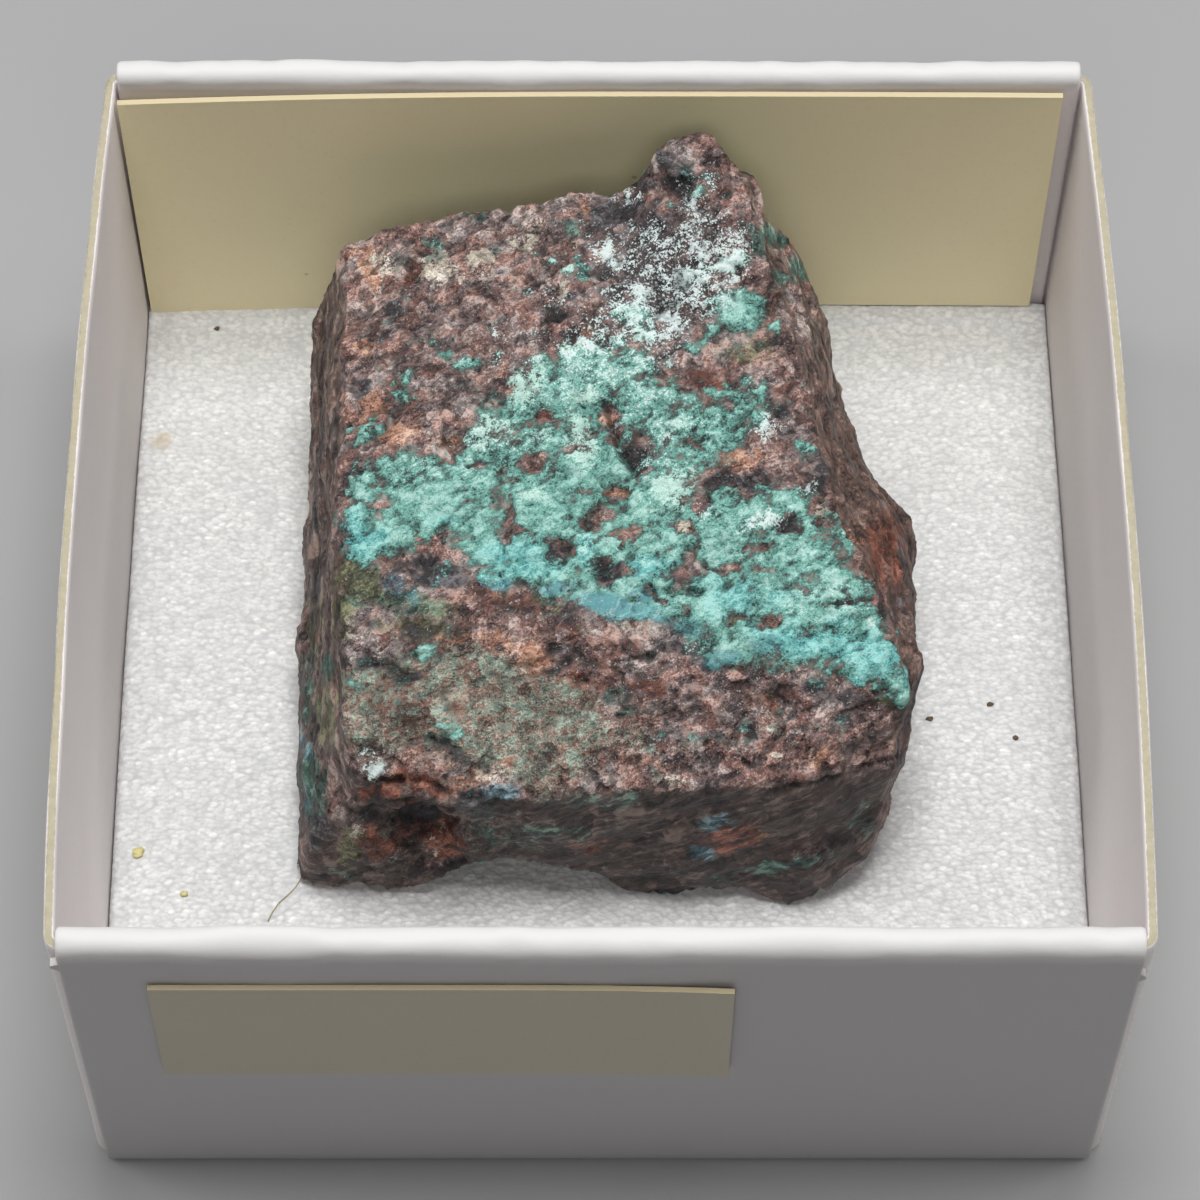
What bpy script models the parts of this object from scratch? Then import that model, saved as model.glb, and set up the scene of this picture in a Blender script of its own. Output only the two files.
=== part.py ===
"""Chrysocolla specimen in its small folded card tray.

The tray is one sheet of white card. Its front and back walls are doubled and
have rounded rims; its side walls are a single thickness with a raw cut edge,
and their ends turn into flaps that sit between the two layers of the doubled
walls. A foam pad covers the floor and the stone rests on it. A name card
stands on the foam against the back wall, and a number label is stuck on the
front wall.

+X is to the right, +Y to the back, +Z up. The origin is the middle of the
tray's underside. Lengths are written in millimetres and multiplied by MM.
"""

import math

import bmesh
import bpy
from mathutils import Matrix, Vector, noise

MM = 0.001

# Tray, all in millimetres
TRAY_WIDTH = 41.0
TRAY_DEPTH = 41.0
TRAY_HEIGHT = 20.0
CARD = 0.4
FLOOR_TUCK = 0.2
FLOOR_FOLD_ROUND = 0.25
FOLDED_WALL = 3.0 * CARD
FOLDED_WALL_END_GAP = 0.1
RIM_ROUND = 0.56
SIDE_WALL_DROP = 0.7
SIDE_WALL_BULGE = 0.45
SIDE_WALL_LEVELS = 7
CORNER_FOLD_RADIUS = 0.42
CORNER_FOLD_STEPS = 6
FLAP_LENGTH = 9.0
SIDE_WALL_STEPS = 12

# Foam pad
FOAM_GAP = 0.1
FOAM_TOP = 3.6
FOAM_EDGE_ROUND = 0.35

# Name card against the back wall
NAME_CARD_WIDTH = 39.3
NAME_CARD_HEIGHT = 15.35
NAME_CARD_THICKNESS = 0.25
NAME_CARD_CENTRE_X = -0.33
NAME_CARD_FOOT = FOAM_TOP + 0.1
NAME_CARD_WALL_GAP = 0.06
NAME_CARD_BOW_LEFT = 0.42
NAME_CARD_BOW_RIGHT = 0.1
NAME_CARD_TURN = math.radians(0.2)

# Number label on the front wall
LABEL_WIDTH = 21.8
LABEL_HEIGHT = 7.75
LABEL_THICKNESS = 0.22
LABEL_CENTRE_X = -5.93
LABEL_CENTRE_Z = 13.3
LABEL_GLUE = 0.05
LABEL_LIFT = 0.16

# Stone
STONE_FOOT = FOAM_TOP + 0.1
STONE_VOXEL = 0.42
STONE_TRIANGLES = 7600

# Corners of the stone's main block: top, then waist, then foot
BODY_CORNERS = [
    # back edge of the top, left to right
    (-10.6, 14.9, 14.6), (-7.7, 15.6, 15.3), (-0.6, 16.0, 16.4), (5.6, 15.0, 17.4),
    # right-hand ridge, back to front
    (6.9, 12.1, 16.9), (8.0, 7.4, 16.1), (8.9, 4.6, 15.6), (10.0, 0.1, 14.8), (12.3, -6.0, 12.7),
    # left-hand ridge, back to front
    (-10.4, 2.6, 15.0), (-10.4, -1.6, 14.4), (-9.9, -7.1, 12.6),
    # break of slope across the top
    (-4.8, -2.2, 14.8), (0.0, -3.6, 14.7), (8.0, -5.7, 13.6),
    # front edge of the top, left to right
    (-9.5, -9.1, 10.9), (-4.7, -9.8, 11.0), (2.7, -9.3, 11.4), (7.0, -9.4, 11.3), (11.8, -8.0, 10.4),
    # waist, anticlockwise from the back left
    (-12.1, 14.2, 10.0), (-12.3, 6.5, 8.0), (-12.2, 0.8, 7.0), (-12.6, -3.9, 5.5), (11.6, -8.5, 6.4),
    (12.5, -6.0, 8.0), (11.2, 7.8, 9.0), (10.3, 12.5, 9.0), (9.5, 15.8, 9.0), (7.9, 16.1, 13.8),
    (0.0, 16.9, 10.0), (-6.0, 16.3, 9.0),
    # foot
    (-12.5, -9.8, 3.7), (-5.7, -9.2, 3.7), (4.2, -9.6, 3.7), (7.8, -10.4, 3.7), (11.0, -9.4, 5.0),
    (11.3, -5.0, 3.7), (11.4, 1.0, 3.7), (10.2, 8.0, 3.7), (8.0, 14.6, 3.7), (-1.0, 15.4, 3.7),
    (-10.6, 13.2, 3.7), (-12.2, 4.0, 3.7),
]

# Blocks that stand out from the main block
PEAK_CORNERS = [
    (2.3, 16.7, 18.3), (3.1, 17.0, 19.5), (4.2, 17.0, 19.8), (5.9, 15.2, 18.6), (6.9, 12.2, 17.3),
    (0.6, 15.8, 16.2), (2.4, 11.5, 16.2), (6.4, 8.4, 16.3), (6.8, 16.4, 16.4), (2.0, 16.8, 13.5),
]
SHOULDER_CORNERS = [
    (12.1, 6.3, 9.0), (13.3, 4.7, 8.6), (13.3, 1.3, 8.2), (13.0, -3.0, 9.0), (12.5, -6.2, 12.6),
    (10.2, 0.4, 14.5), (10.6, 4.4, 12.6), (12.3, 3.6, 4.9), (12.3, -3.0, 4.7), (12.6, -6.6, 7.6),
    (9.0, 5.0, 9.0), (9.0, -4.0, 6.0),
]
FRONT_FOOT_CORNERS = [
    (4.0, -9.5, 3.7), (5.5, -10.3, 3.7), (7.8, -10.8, 3.7), (9.7, -10.4, 3.9), (11.1, -9.5, 5.1),
    (5.4, -10.0, 6.0), (8.4, -10.3, 6.8), (11.2, -9.0, 7.0), (6.0, -7.0, 4.4), (9.5, -7.0, 6.4),
]
# A thick plate of crust that ends in a step above the break of slope
CRUST_CORNERS = [
    (5.6, -4.6, 14.2), (8.6, -5.2, 13.9), (12.5, -6.4, 13.0), (11.9, -3.6, 14.1), (10.3, 0.2, 15.1),
    (6.0, 0.6, 15.4), (8.0, -4.4, 12.8), (11.4, -5.0, 12.0),
]

# Hollows: centre and radii of a rounded cutter
HOLLOWS = [
    # scooped corner under the front left of the top
    ((-7.2, -10.5, 8.4), (2.5, 2.0, 2.3)),
    ((-6.4, -10.6, 6.0), (2.1, 1.4, 1.0)),
    # the arch under the front face
    ((-2.9, -9.8, 3.5), (3.5, 3.4, 2.1)),
    # the notch behind the right shoulder
    ((13.3, 7.6, 8.0), (1.9, 1.5, 5.0)),
    # bites out of the back and left faces
    ((-3.5, 18.2, 11.6), (3.4, 2.0, 2.6)),
    ((-13.6, 10.0, 11.0), (1.5, 3.2, 2.2)),
]

# Grooves on the top: two ends in X and Y, half width, depth
GROOVES = [
    ((-0.6, 5.2), (0.9, 1.4), 0.45, 0.45),
    ((-2.4, 8.4), (-0.6, 5.2), 0.40, 0.30),
    ((3.2, -6.8), (4.6, -8.6), 0.30, 0.30),
    ((6.2, -8.4), (7.4, -6.2), 0.30, 0.30),
    ((1.6, 12.4), (3.2, 8.8), 0.50, 0.35),
]

# Bedding planes of the rock, seen as ledges on its steep faces
BEDDING = Vector((-0.39, -0.28, 0.92)).normalized()
LEDGE_PITCH = 1.9
LEDGE_DEPTH = 0.42
LEDGE_FACE_SHARE = 0.82
LEDGE_WAVE_SIZE = 6.2
LEDGE_WAVE = 0.8
LEDGE_PATCH_SIZE = 4.5
LEDGE_PATCH_PLACE = Vector((9.0, 3.0, 5.0))
STEEP_SLOPE = 0.8

# Lumps and pits of the broken surface
LUMP_SIZE = 2.6
LUMP_HEIGHT = 0.34
SMALL_LUMP_SHARE = 0.45
SMALL_LUMP_PLACE = Vector((4.0, 7.0, 1.0))
PIT_SIZE = 1.15
PIT_DEPTH = 0.20
PIT_LEVEL = 0.35


def clear_scene():
    for item in list(bpy.data.objects):
        bpy.data.objects.remove(item, do_unlink=True)
    for mesh in list(bpy.data.meshes):
        bpy.data.meshes.remove(mesh)


def make_collection(name):
    collection = bpy.data.collections.new(name)
    bpy.context.scene.collection.children.link(collection)
    return collection


def make_material(name, color, roughness, metallic=0.0):
    material = bpy.data.materials.new(name)
    material.use_nodes = True
    shader = material.node_tree.nodes["Principled BSDF"]
    shader.inputs["Base Color"].default_value = (*color, 1.0)
    shader.inputs["Roughness"].default_value = roughness
    shader.inputs["Metallic"].default_value = metallic
    material.diffuse_color = (*color, 1.0)
    return material


def add_object(name, bm, collection, material=None):
    """Turn a bmesh in millimetres into an object in metres."""
    bm.transform(Matrix.Scale(MM, 4))
    bmesh.ops.recalc_face_normals(bm, faces=bm.faces)
    mesh = bpy.data.meshes.new(name)
    bm.to_mesh(mesh)
    bm.free()
    item = bpy.data.objects.new(name, mesh)
    collection.objects.link(item)
    if material:
        mesh.materials.append(material)
    return item


def hide_tool(item):
    item.hide_render = True
    item.display_type = "WIRE"


def box_mesh(size, centre):
    bm = bmesh.new()
    bmesh.ops.create_cube(bm, size=1.0)
    bmesh.ops.scale(bm, vec=size, verts=bm.verts)
    bmesh.ops.translate(bm, vec=centre, verts=bm.verts)
    return bm


def join_solids(target, tools, operation):
    """Boolean a list of closed objects into the target and keep the result as its mesh."""
    for tool in tools:
        hide_tool(tool)
        step = target.modifiers.new(f"{operation.lower()}_{tool.name}", "BOOLEAN")
        step.operation = operation
        step.solver = "EXACT"
        step.object = tool
    bake(target)


def bake(item):
    """Replace the object's mesh by its evaluated mesh."""
    bpy.context.view_layer.update()
    graph = bpy.context.evaluated_depsgraph_get()
    mesh = bpy.data.meshes.new_from_object(item.evaluated_get(graph), depsgraph=graph)
    item.modifiers.clear()
    item.data = mesh
    return item


def shade_round(item, angle_degrees):
    item.data.shade_smooth()
    item.data.set_sharp_from_angle(angle=math.radians(angle_degrees))


def add_solidify(item, thickness, offset):
    solid = item.modifiers.new("thickness", "SOLIDIFY")
    solid.thickness = thickness * MM
    solid.offset = offset
    return solid


# Tray


def side_wall_path(side):
    """Centre line, seen from above, of one side wall with a flap at each end."""
    wall_x = TRAY_WIDTH / 2.0 - CARD / 2.0
    flap_y = TRAY_DEPTH / 2.0 - FOLDED_WALL / 2.0
    radius = CORNER_FOLD_RADIUS
    path = [(wall_x - FLAP_LENGTH, -flap_y)]
    for index in range(CORNER_FOLD_STEPS + 1):
        angle = -math.pi / 2.0 + math.pi / 2.0 * index / CORNER_FOLD_STEPS
        path.append((wall_x - radius + radius * math.cos(angle), -flap_y + radius + radius * math.sin(angle)))
    straight = flap_y - radius
    for index in range(1, SIDE_WALL_STEPS):
        path.append((wall_x, straight * (2.0 * index / SIDE_WALL_STEPS - 1.0)))
    for index in range(CORNER_FOLD_STEPS + 1):
        angle = math.pi / 2.0 * index / CORNER_FOLD_STEPS
        path.append((wall_x - radius + radius * math.cos(angle), flap_y - radius + radius * math.sin(angle)))
    path.append((wall_x - FLAP_LENGTH, flap_y))
    return [(side * x, y) for x, y in path]


def make_side_wall(side, tools):
    """A single card wall, open surface first, that bulges outwards towards its top."""
    top = TRAY_HEIGHT - SIDE_WALL_DROP
    half_depth = TRAY_DEPTH / 2.0
    bm = bmesh.new()
    path = side_wall_path(side)
    first = [bm.verts.new((x, y, 0.0)) for x, y in path]
    edges = [bm.edges.new(pair) for pair in zip(first, first[1:])]
    rise = Vector((0.0, 0.0, top / SIDE_WALL_LEVELS))
    for _ in range(SIDE_WALL_LEVELS):
        grown = bmesh.ops.extrude_edge_only(bm, edges=edges)["geom"]
        bmesh.ops.translate(bm, vec=rise, verts=[g for g in grown if isinstance(g, bmesh.types.BMVert)])
        edges = [g for g in grown if isinstance(g, bmesh.types.BMEdge)]
    for vert in bm.verts:
        bow = max(0.0, 1.0 - (vert.co.y / half_depth) ** 2)
        vert.co.x += side * SIDE_WALL_BULGE * bow * math.sqrt(vert.co.z / top)
    wall = add_object(f"side_wall_{'left' if side < 0 else 'right'}", bm, tools)
    add_solidify(wall, CARD, 0.0)
    bake(wall)
    for vert in wall.data.vertices:
        if vert.co.z < CARD * MM:
            vert.co.z = 0.0
    return wall


def long_edges(bm, test):
    """Edges along X whose middle passes a test."""
    along = [e for e in bm.edges if abs(e.verts[0].co.x - e.verts[1].co.x) > FOLDED_WALL]
    return [e for e in along if test((e.verts[0].co + e.verts[1].co) / 2.0)]


def make_folded_wall(side, tools):
    """A doubled wall whose fold makes a rounded rim, folded up from the floor at its foot."""
    length = TRAY_WIDTH - 2.0 * CARD - 2.0 * FOLDED_WALL_END_GAP
    centre_y = side * (TRAY_DEPTH / 2.0 - FOLDED_WALL / 2.0)
    middle = TRAY_HEIGHT / 2.0
    bm = box_mesh((length, FOLDED_WALL, TRAY_HEIGHT), (0.0, centre_y, middle))
    rim = long_edges(bm, lambda point: point.z > middle)
    bmesh.ops.bevel(bm, geom=rim, offset=RIM_ROUND, segments=6, profile=0.5, affect="EDGES")
    foot = long_edges(bm, lambda point: point.z < CARD and side * point.y > abs(centre_y))
    bmesh.ops.bevel(bm, geom=foot, offset=FLOOR_FOLD_ROUND, segments=3, profile=0.5, affect="EDGES")
    return add_object(f"folded_wall_{'front' if side < 0 else 'back'}", bm, tools)


def make_tray(parts, tools, material):
    width = TRAY_WIDTH - 2.0 * FLOOR_TUCK
    depth = TRAY_DEPTH - FOLDED_WALL
    tray = add_object("card_tray", box_mesh((width, depth, CARD), (0.0, 0.0, CARD / 2.0)), parts, material)
    walls = [make_folded_wall(side, tools) for side in (-1, 1)]
    walls += [make_side_wall(side, tools) for side in (-1, 1)]
    join_solids(tray, walls, "UNION")
    tray.data.materials.clear()
    tray.data.materials.append(material)
    shade_round(tray, 35.0)
    return tray


# Foam pad


def make_foam_pad(parts, material):
    wall_x = TRAY_WIDTH / 2.0 - CARD - FOAM_GAP
    wall_y = TRAY_DEPTH / 2.0 - FOLDED_WALL - FOAM_GAP
    foot = CARD + FOAM_GAP
    bm = box_mesh((2.0 * wall_x, 2.0 * wall_y, FOAM_TOP - foot), (0.0, 0.0, (FOAM_TOP + foot) / 2.0))
    bmesh.ops.bevel(bm, geom=list(bm.edges), offset=FOAM_EDGE_ROUND, segments=3, profile=0.5, affect="EDGES")
    pad = add_object("foam_pad", bm, parts, material)
    shade_round(pad, 40.0)
    return pad


# Name card and number label


def make_sheet(name, width, height, parts, material, thickness, bow):
    """A thin card, upright in XZ and facing -Y, bowed by a function of its place from -1 to 1."""
    bm = bmesh.new()
    bmesh.ops.create_grid(bm, x_segments=16, y_segments=6, size=0.5)
    for vert in bm.verts:
        across = vert.co.x * 2.0
        up = vert.co.y * 2.0
        vert.co = Vector((across * width / 2.0, bow(across, up), up * height / 2.0))
    sheet = add_object(name, bm, parts, material)
    add_solidify(sheet, thickness, 0.0)
    bake(sheet)
    shade_round(sheet, 40.0)
    return sheet


def name_card_bow(across, up):
    """The card's ends stand forward of its middle, the left end most."""
    amount = NAME_CARD_BOW_LEFT if across < 0.0 else NAME_CARD_BOW_RIGHT
    return -amount * across * across


def make_name_card(parts, material):
    card = make_sheet("name_card", NAME_CARD_WIDTH, NAME_CARD_HEIGHT, parts, material, NAME_CARD_THICKNESS,
                      name_card_bow)
    wall_y = TRAY_DEPTH / 2.0 - FOLDED_WALL
    y = wall_y - NAME_CARD_WALL_GAP - NAME_CARD_THICKNESS / 2.0
    drop = math.sin(NAME_CARD_TURN) * NAME_CARD_WIDTH / 2.0
    z = NAME_CARD_FOOT + NAME_CARD_HEIGHT / 2.0 + drop
    card.location = (NAME_CARD_CENTRE_X * MM, y * MM, z * MM)
    card.rotation_euler = (0.0, -NAME_CARD_TURN, 0.0)
    return card


def label_bow(across, up):
    """The label's right end has come away from the wall a little."""
    return -LABEL_LIFT * max(0.0, across) ** 3


def make_number_label(parts, material):
    label = make_sheet("number_label", LABEL_WIDTH, LABEL_HEIGHT, parts, material, LABEL_THICKNESS,
                       label_bow)
    y = -TRAY_DEPTH / 2.0 - LABEL_GLUE - LABEL_THICKNESS / 2.0
    label.location = (LABEL_CENTRE_X * MM, y * MM, LABEL_CENTRE_Z * MM)
    return label


# Stone


def make_block(name, corners, tools):
    """A rock block: the convex hull of its corners."""
    bm = bmesh.new()
    for corner in corners:
        bm.verts.new(corner)
    hull = bmesh.ops.convex_hull(bm, input=bm.verts)
    spare = [g for g in hull["geom_interior"] if isinstance(g, bmesh.types.BMVert)]
    bmesh.ops.delete(bm, geom=spare, context="VERTS")
    return add_object(name, bm, tools)


def make_hollow(index, centre, radii, tools):
    bm = bmesh.new()
    bmesh.ops.create_icosphere(bm, subdivisions=3, radius=1.0)
    bmesh.ops.scale(bm, vec=radii, verts=bm.verts)
    bmesh.ops.translate(bm, vec=centre, verts=bm.verts)
    return add_object(f"hollow_{index}", bm, tools)


def groove_depth(x, y):
    """How deep the grooves cut at a point of the top."""
    depth = 0.0
    for start, end, half_width, deep in GROOVES:
        a = Vector(start)
        along = Vector(end) - a
        share = (Vector((x, y)) - a).dot(along) / along.length_squared
        nearest = a + along * min(1.0, max(0.0, share))
        away = (Vector((x, y)) - nearest).length / half_width
        depth += deep * math.exp(-away * away)
    return depth


def ledge_push(point):
    """Steps along the bedding planes: in at the foot of each bed, out at its head."""
    wave = LEDGE_WAVE * noise.noise(point / LEDGE_WAVE_SIZE)
    bed = point.dot(BEDDING) / LEDGE_PITCH + wave
    share = bed - math.floor(bed)
    if share < LEDGE_FACE_SHARE:
        ramp = share
    else:
        ramp = (1.0 - share) * LEDGE_FACE_SHARE / (1.0 - LEDGE_FACE_SHARE)
    patch = noise.noise(point / LEDGE_PATCH_SIZE + LEDGE_PATCH_PLACE)
    return LEDGE_DEPTH * (1.0 + patch) / 2.0 * (ramp - LEDGE_FACE_SHARE / 2.0)


def rock_push(point, normal):
    """How far the broken surface stands out from the smooth block, in millimetres."""
    steep = 1.0 - min(1.0, abs(normal.z) / STEEP_SLOPE)
    flat_top = max(0.0, normal.z)
    push = LUMP_HEIGHT * noise.noise(point / LUMP_SIZE)
    small = noise.noise(point / (SMALL_LUMP_SHARE * LUMP_SIZE) + SMALL_LUMP_PLACE)
    push += SMALL_LUMP_SHARE * LUMP_HEIGHT * small
    cell = noise.voronoi(point / PIT_SIZE)[0]
    push += PIT_DEPTH * (min(1.0, cell[1] - cell[0]) - PIT_LEVEL)
    push += steep * ledge_push(point)
    push -= flat_top * groove_depth(point.x, point.y)
    return push


def roughen(item):
    """Move every point of the stone along its normal; the foot stays level."""
    mesh = item.data
    moved = []
    for vert in mesh.vertices:
        point = vert.co / MM
        moved.append(point + vert.normal * rock_push(point, vert.normal))
    for vert, point in zip(mesh.vertices, moved):
        point.z = max(point.z, STONE_FOOT)
        vert.co = point * MM
    mesh.update()


def make_stone(parts, tools, material):
    stone = make_block("chrysocolla_stone", BODY_CORNERS, parts)
    blocks = [
        make_block("stone_peak", PEAK_CORNERS, tools),
        make_block("stone_shoulder", SHOULDER_CORNERS, tools),
        make_block("stone_front_foot", FRONT_FOOT_CORNERS, tools),
        make_block("stone_crust_plate", CRUST_CORNERS, tools),
    ]
    join_solids(stone, blocks, "UNION")
    hollows = [make_hollow(i, centre, radii, tools) for i, (centre, radii) in enumerate(HOLLOWS)]
    join_solids(stone, hollows, "DIFFERENCE")

    grid = stone.modifiers.new("even_grid", "REMESH")
    grid.mode = "VOXEL"
    grid.voxel_size = STONE_VOXEL * MM
    grid.adaptivity = 0.0
    bake(stone)
    roughen(stone)

    faces = sum(len(p.vertices) - 2 for p in stone.data.polygons)
    thin = stone.modifiers.new("fewer_faces", "DECIMATE")
    thin.ratio = STONE_TRIANGLES / faces
    thin.use_collapse_triangulate = True
    bake(stone)
    stone.data.materials.clear()
    stone.data.materials.append(material)
    shade_round(stone, 32.0)
    return stone


def build():
    clear_scene()
    parts = make_collection("chrysocolla_specimen")
    tools = make_collection("cutters_and_blocks")
    white_card = make_material("white_card", (0.80, 0.79, 0.77), 0.75)
    foam = make_material("foam", (0.86, 0.86, 0.84), 0.85)
    cream_card = make_material("cream_card", (0.72, 0.63, 0.40), 0.7)
    mineral = make_material("mineral", (0.22, 0.33, 0.30), 0.8)
    make_tray(parts, tools, white_card)
    make_foam_pad(parts, foam)
    make_name_card(parts, cream_card)
    make_number_label(parts, cream_card)
    make_stone(parts, tools, mineral)


build()
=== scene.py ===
"""Looks of the boxed chrysocolla specimen: stone, card tray, foam pad, name card and number label.

Lengths are in millimetres and are multiplied by MM. Places marked "in photo pixels" are read in the
photograph's own 1200 x 1200 frame; the fitted camera turns them into places on the surface.
"""
import math

import bmesh
import bpy
import numpy as np
from mathutils import Matrix, Vector, noise


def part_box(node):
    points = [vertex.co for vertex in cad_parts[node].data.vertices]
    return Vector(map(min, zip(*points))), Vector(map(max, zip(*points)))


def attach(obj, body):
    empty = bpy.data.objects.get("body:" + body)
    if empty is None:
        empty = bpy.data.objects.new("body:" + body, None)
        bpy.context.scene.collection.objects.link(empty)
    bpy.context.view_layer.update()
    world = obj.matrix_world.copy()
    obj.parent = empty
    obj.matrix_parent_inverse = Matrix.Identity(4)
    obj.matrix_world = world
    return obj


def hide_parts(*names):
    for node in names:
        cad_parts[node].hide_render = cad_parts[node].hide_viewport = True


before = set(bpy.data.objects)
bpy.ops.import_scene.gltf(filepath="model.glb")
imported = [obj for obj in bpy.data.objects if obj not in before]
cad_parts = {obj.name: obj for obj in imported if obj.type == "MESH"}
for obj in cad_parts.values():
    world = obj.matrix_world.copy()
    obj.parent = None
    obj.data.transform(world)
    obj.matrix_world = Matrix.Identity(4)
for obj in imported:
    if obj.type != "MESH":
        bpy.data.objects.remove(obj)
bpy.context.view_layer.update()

MM = 0.001

# Camera
PHOTO_SIDE = 1200.0
CAMERA_PLACE = Vector((-0.776, -84.048, 155.486))
CAMERA_YAW = 0.00978
CAMERA_PITCH = 1.04643
CAMERA_ROLL = 0.00885
CAMERA_LENS = 122.486
CAMERA_SENSOR = 36.0

# Lights: name, place, target and size in millimetres, and power in watts
LIGHTS = (
    ("overhead", (8, 38, 300), (0, 2, 10), (110, 130), 0.64),
    ("front_fill", (0, -190, 250), (0, 4, 8), (130, 90), 0.15),
    ("left_fill", (-260, 50, 190), (0, 0, 8), (160, 160), 0.33),
    ("right_fill", (260, 50, 200), (0, 0, 8), (160, 160), 0.33),
)
WORLD_LIGHT = 0.06

# Card tray
TRAY_HALF = 20.5
TRAY_HEIGHT = 20.0
CARD = 0.4
FOLDED_WALL = 1.2
FOLDED_WALL_HALF_LENGTH = 20.0
RIM_ROUND = 0.56
SIDE_WALL_TOP = 19.3
SIDE_WALL_BULGE = 0.45
CORNER_FOLD_RADIUS = 0.42
FLAP_STATIONS = (2.6, 1.4)
DOG_EAR_THICKNESS = 0.34
TRAY_STEP = 0.25
WALL_LEVELS = 34

# Colours on screen of the papers and the floor
PAPER_TONES = ((230, 224, 223), (225, 217, 217))
PAPER_FIBRE_TONE = (212, 205, 204)
# Painted shade on the walls' outer faces
PAPER_OUTSIDE_SHADE_TONE = (192, 189, 190)
# Painted shade on the rims, darker than the paper against the light on top
PAPER_RIM_SHADE_TONE = (219, 218, 217)
PULP_TONES = ((197, 189, 165), (160, 152, 128))
NAME_CARD_TONES = ((252, 240, 198), (248, 235, 192), (240, 226, 180))
LABEL_TONES = ((200, 191, 174), (195, 186, 168), (186, 176, 155))
PAPER_DUST_TONE = (150, 128, 96)
PAPER_EDGE_TONE = (206, 192, 156)
FLOOR_TONES = ((160, 160, 160), (166, 166, 166))

# Foam pad
FOAM_HALF_X = 20.0
FOAM_HALF_Y = 19.2
FOAM_FOOT = 0.5
FOAM_TOP = 3.6
FOAM_STEP = 0.13
FOAM_CELL = 0.34
FOAM_EDGE_ROUND = 0.18
FOAM_STAIN = (-19.2, 11.9, 0.7)
# Crumbs lying on the foam: place, half sizes, and 1 for yellow or 2 for brown
CRUMBS = [
    (-19.1, -8.3, (0.24, 0.22, 0.10), 1), (-17.1, -10.2, (0.15, 0.13, 0.08), 1),
    (14.0, -2.0, (0.16, 0.11, 0.08), 2), (16.6, -1.3, (0.14, 0.09, 0.08), 2),
    (17.6, -2.9, (0.12, 0.10, 0.08), 2), (-17.0, 17.8, (0.12, 0.10, 0.08), 2),
]
HAIR = [(-12.3, -9.5), (-12.5, -9.9), (-12.8, -10.25), (-13.15, -10.6), (-13.4, -11.0), (-13.6, -11.45)]
HAIR_RADIUS = 0.022
# The foam's own level below the solid's top, and its rise at the foot of the name card
FOAM_SINK = 0.09
FOAM_LIP = 0.18
# The lower tone is painted shade between the cell domes, the higher one painted highlight on their tops
FOAM_TONES = ((214, 215, 215), (238, 238, 236))
FOAM_CLOUD_TONE = (219, 220, 220)
# Painted shade in the creases between the pores
FOAM_CREASE_SHADE_TONE = (200, 201, 202)
FOAM_STAIN_TONE = (196, 180, 150)
CRUMB_TONES = ((222, 212, 150), (98, 82, 58))

# Stone mesh
STONE_VOXEL = 0.145
STONE_SMOOTH_ROUNDS = 8
STONE_TRIANGLES = 192000
STONE_SINK = 0.12
BEDDING = Vector((-0.39, -0.28, 0.92)).normalized()
GRAIN_TURN = 0.50
GRAIN_STRETCH = (1.7, 1.0, 1.2)
GRAIN_BEND = (0.25, 0.25, 0.35)
LARGE_GRAIN = 0.62
SMALL_GRAIN = 0.24
FROST_GRAIN = 0.11

# Stone markings, in photo pixels. An oval is centre x, centre y, half width, half height, strength, which
# is 1 where it is left out, and turn in degrees, which is 0 where it is left out and rises to the right.
TURQUOISE_BAND = [
    (341, 548), (340, 520), (347, 496), (352, 478), (368, 460), (390, 450), (412, 453), (424, 468),
    (440, 455), (462, 447), (470, 425), (482, 408), (505, 398), (515, 376), (548, 352), (585, 340),
    (612, 345), (640, 342), (662, 352), (670, 378), (690, 392), (722, 384), (748, 388), (768, 392),
    (772, 415), (758, 436), (756, 452), (740, 468), (722, 474), (728, 490), (760, 492), (782, 488),
    (800, 484), (812, 498), (826, 512), (846, 545), (862, 580), (878, 612), (892, 640), (905, 668),
    (911, 692), (902, 702), (880, 692), (858, 680), (830, 676), (800, 670), (765, 662), (742, 668),
    (718, 666), (700, 648), (672, 626), (650, 620), (620, 622), (590, 618), (575, 606), (552, 590),
    (520, 588), (494, 584), (474, 568), (462, 546), (440, 538), (421, 540), (404, 549), (385, 560),
    (362, 562), (345, 557),
]
TURQUOISE_SPOTS = [
    (737, 315, 26, 21, 1.15, 35), (711, 334, 12, 6, 1.1, 20), (703, 193, 9, 7, 1.25, 20),
    (677, 208, 6, 10, 1.25, -15), (729, 265, 22, 9, 1.2, 5), (693, 275, 14, 7, 0.9, 10),
    (640, 312, 14, 13, 1.0, 20), (621, 318, 9, 7), (648, 334, 11, 13), (690, 348, 10, 9, 1.0, -30),
    (563, 275, 6, 10), (576, 262, 8, 6, 0.8), (583, 276, 8, 12, 0.8, -20), (723, 385, 7, 9, 0.9),
    (756, 391, 13, 8, 0.9, 30), (805, 451, 9, 8, 0.8, 40), (805, 490, 8, 6, 0.8), (776, 330, 8, 7, 0.8),
    (449, 355, 10, 6, 0.8, 10), (470, 361, 11, 4, 0.8, 5), (410, 383, 10, 8, 0.8, 40),
    (400, 396, 8, 6, 0.8, 40), (362, 425, 20, 4, 0.9, 35), (372, 438, 18, 7, 0.7, 15),
    (615, 256, 13, 12, 0.7), (371, 770, 8, 13, 1.4), (421, 653, 12, 7, 0.9, 15), (357, 684, 9, 8, 0.8),
    (441, 726, 14, 5, 1.0, -5), (457, 736, 11, 6, 0.9, 25), (901, 697, 10, 10),
    (571, 366, 26, 11, 1.0, 35), (596, 343, 14, 7, 0.8, 10), (632, 362, 24, 11, 1.0, -15),
]
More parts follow.
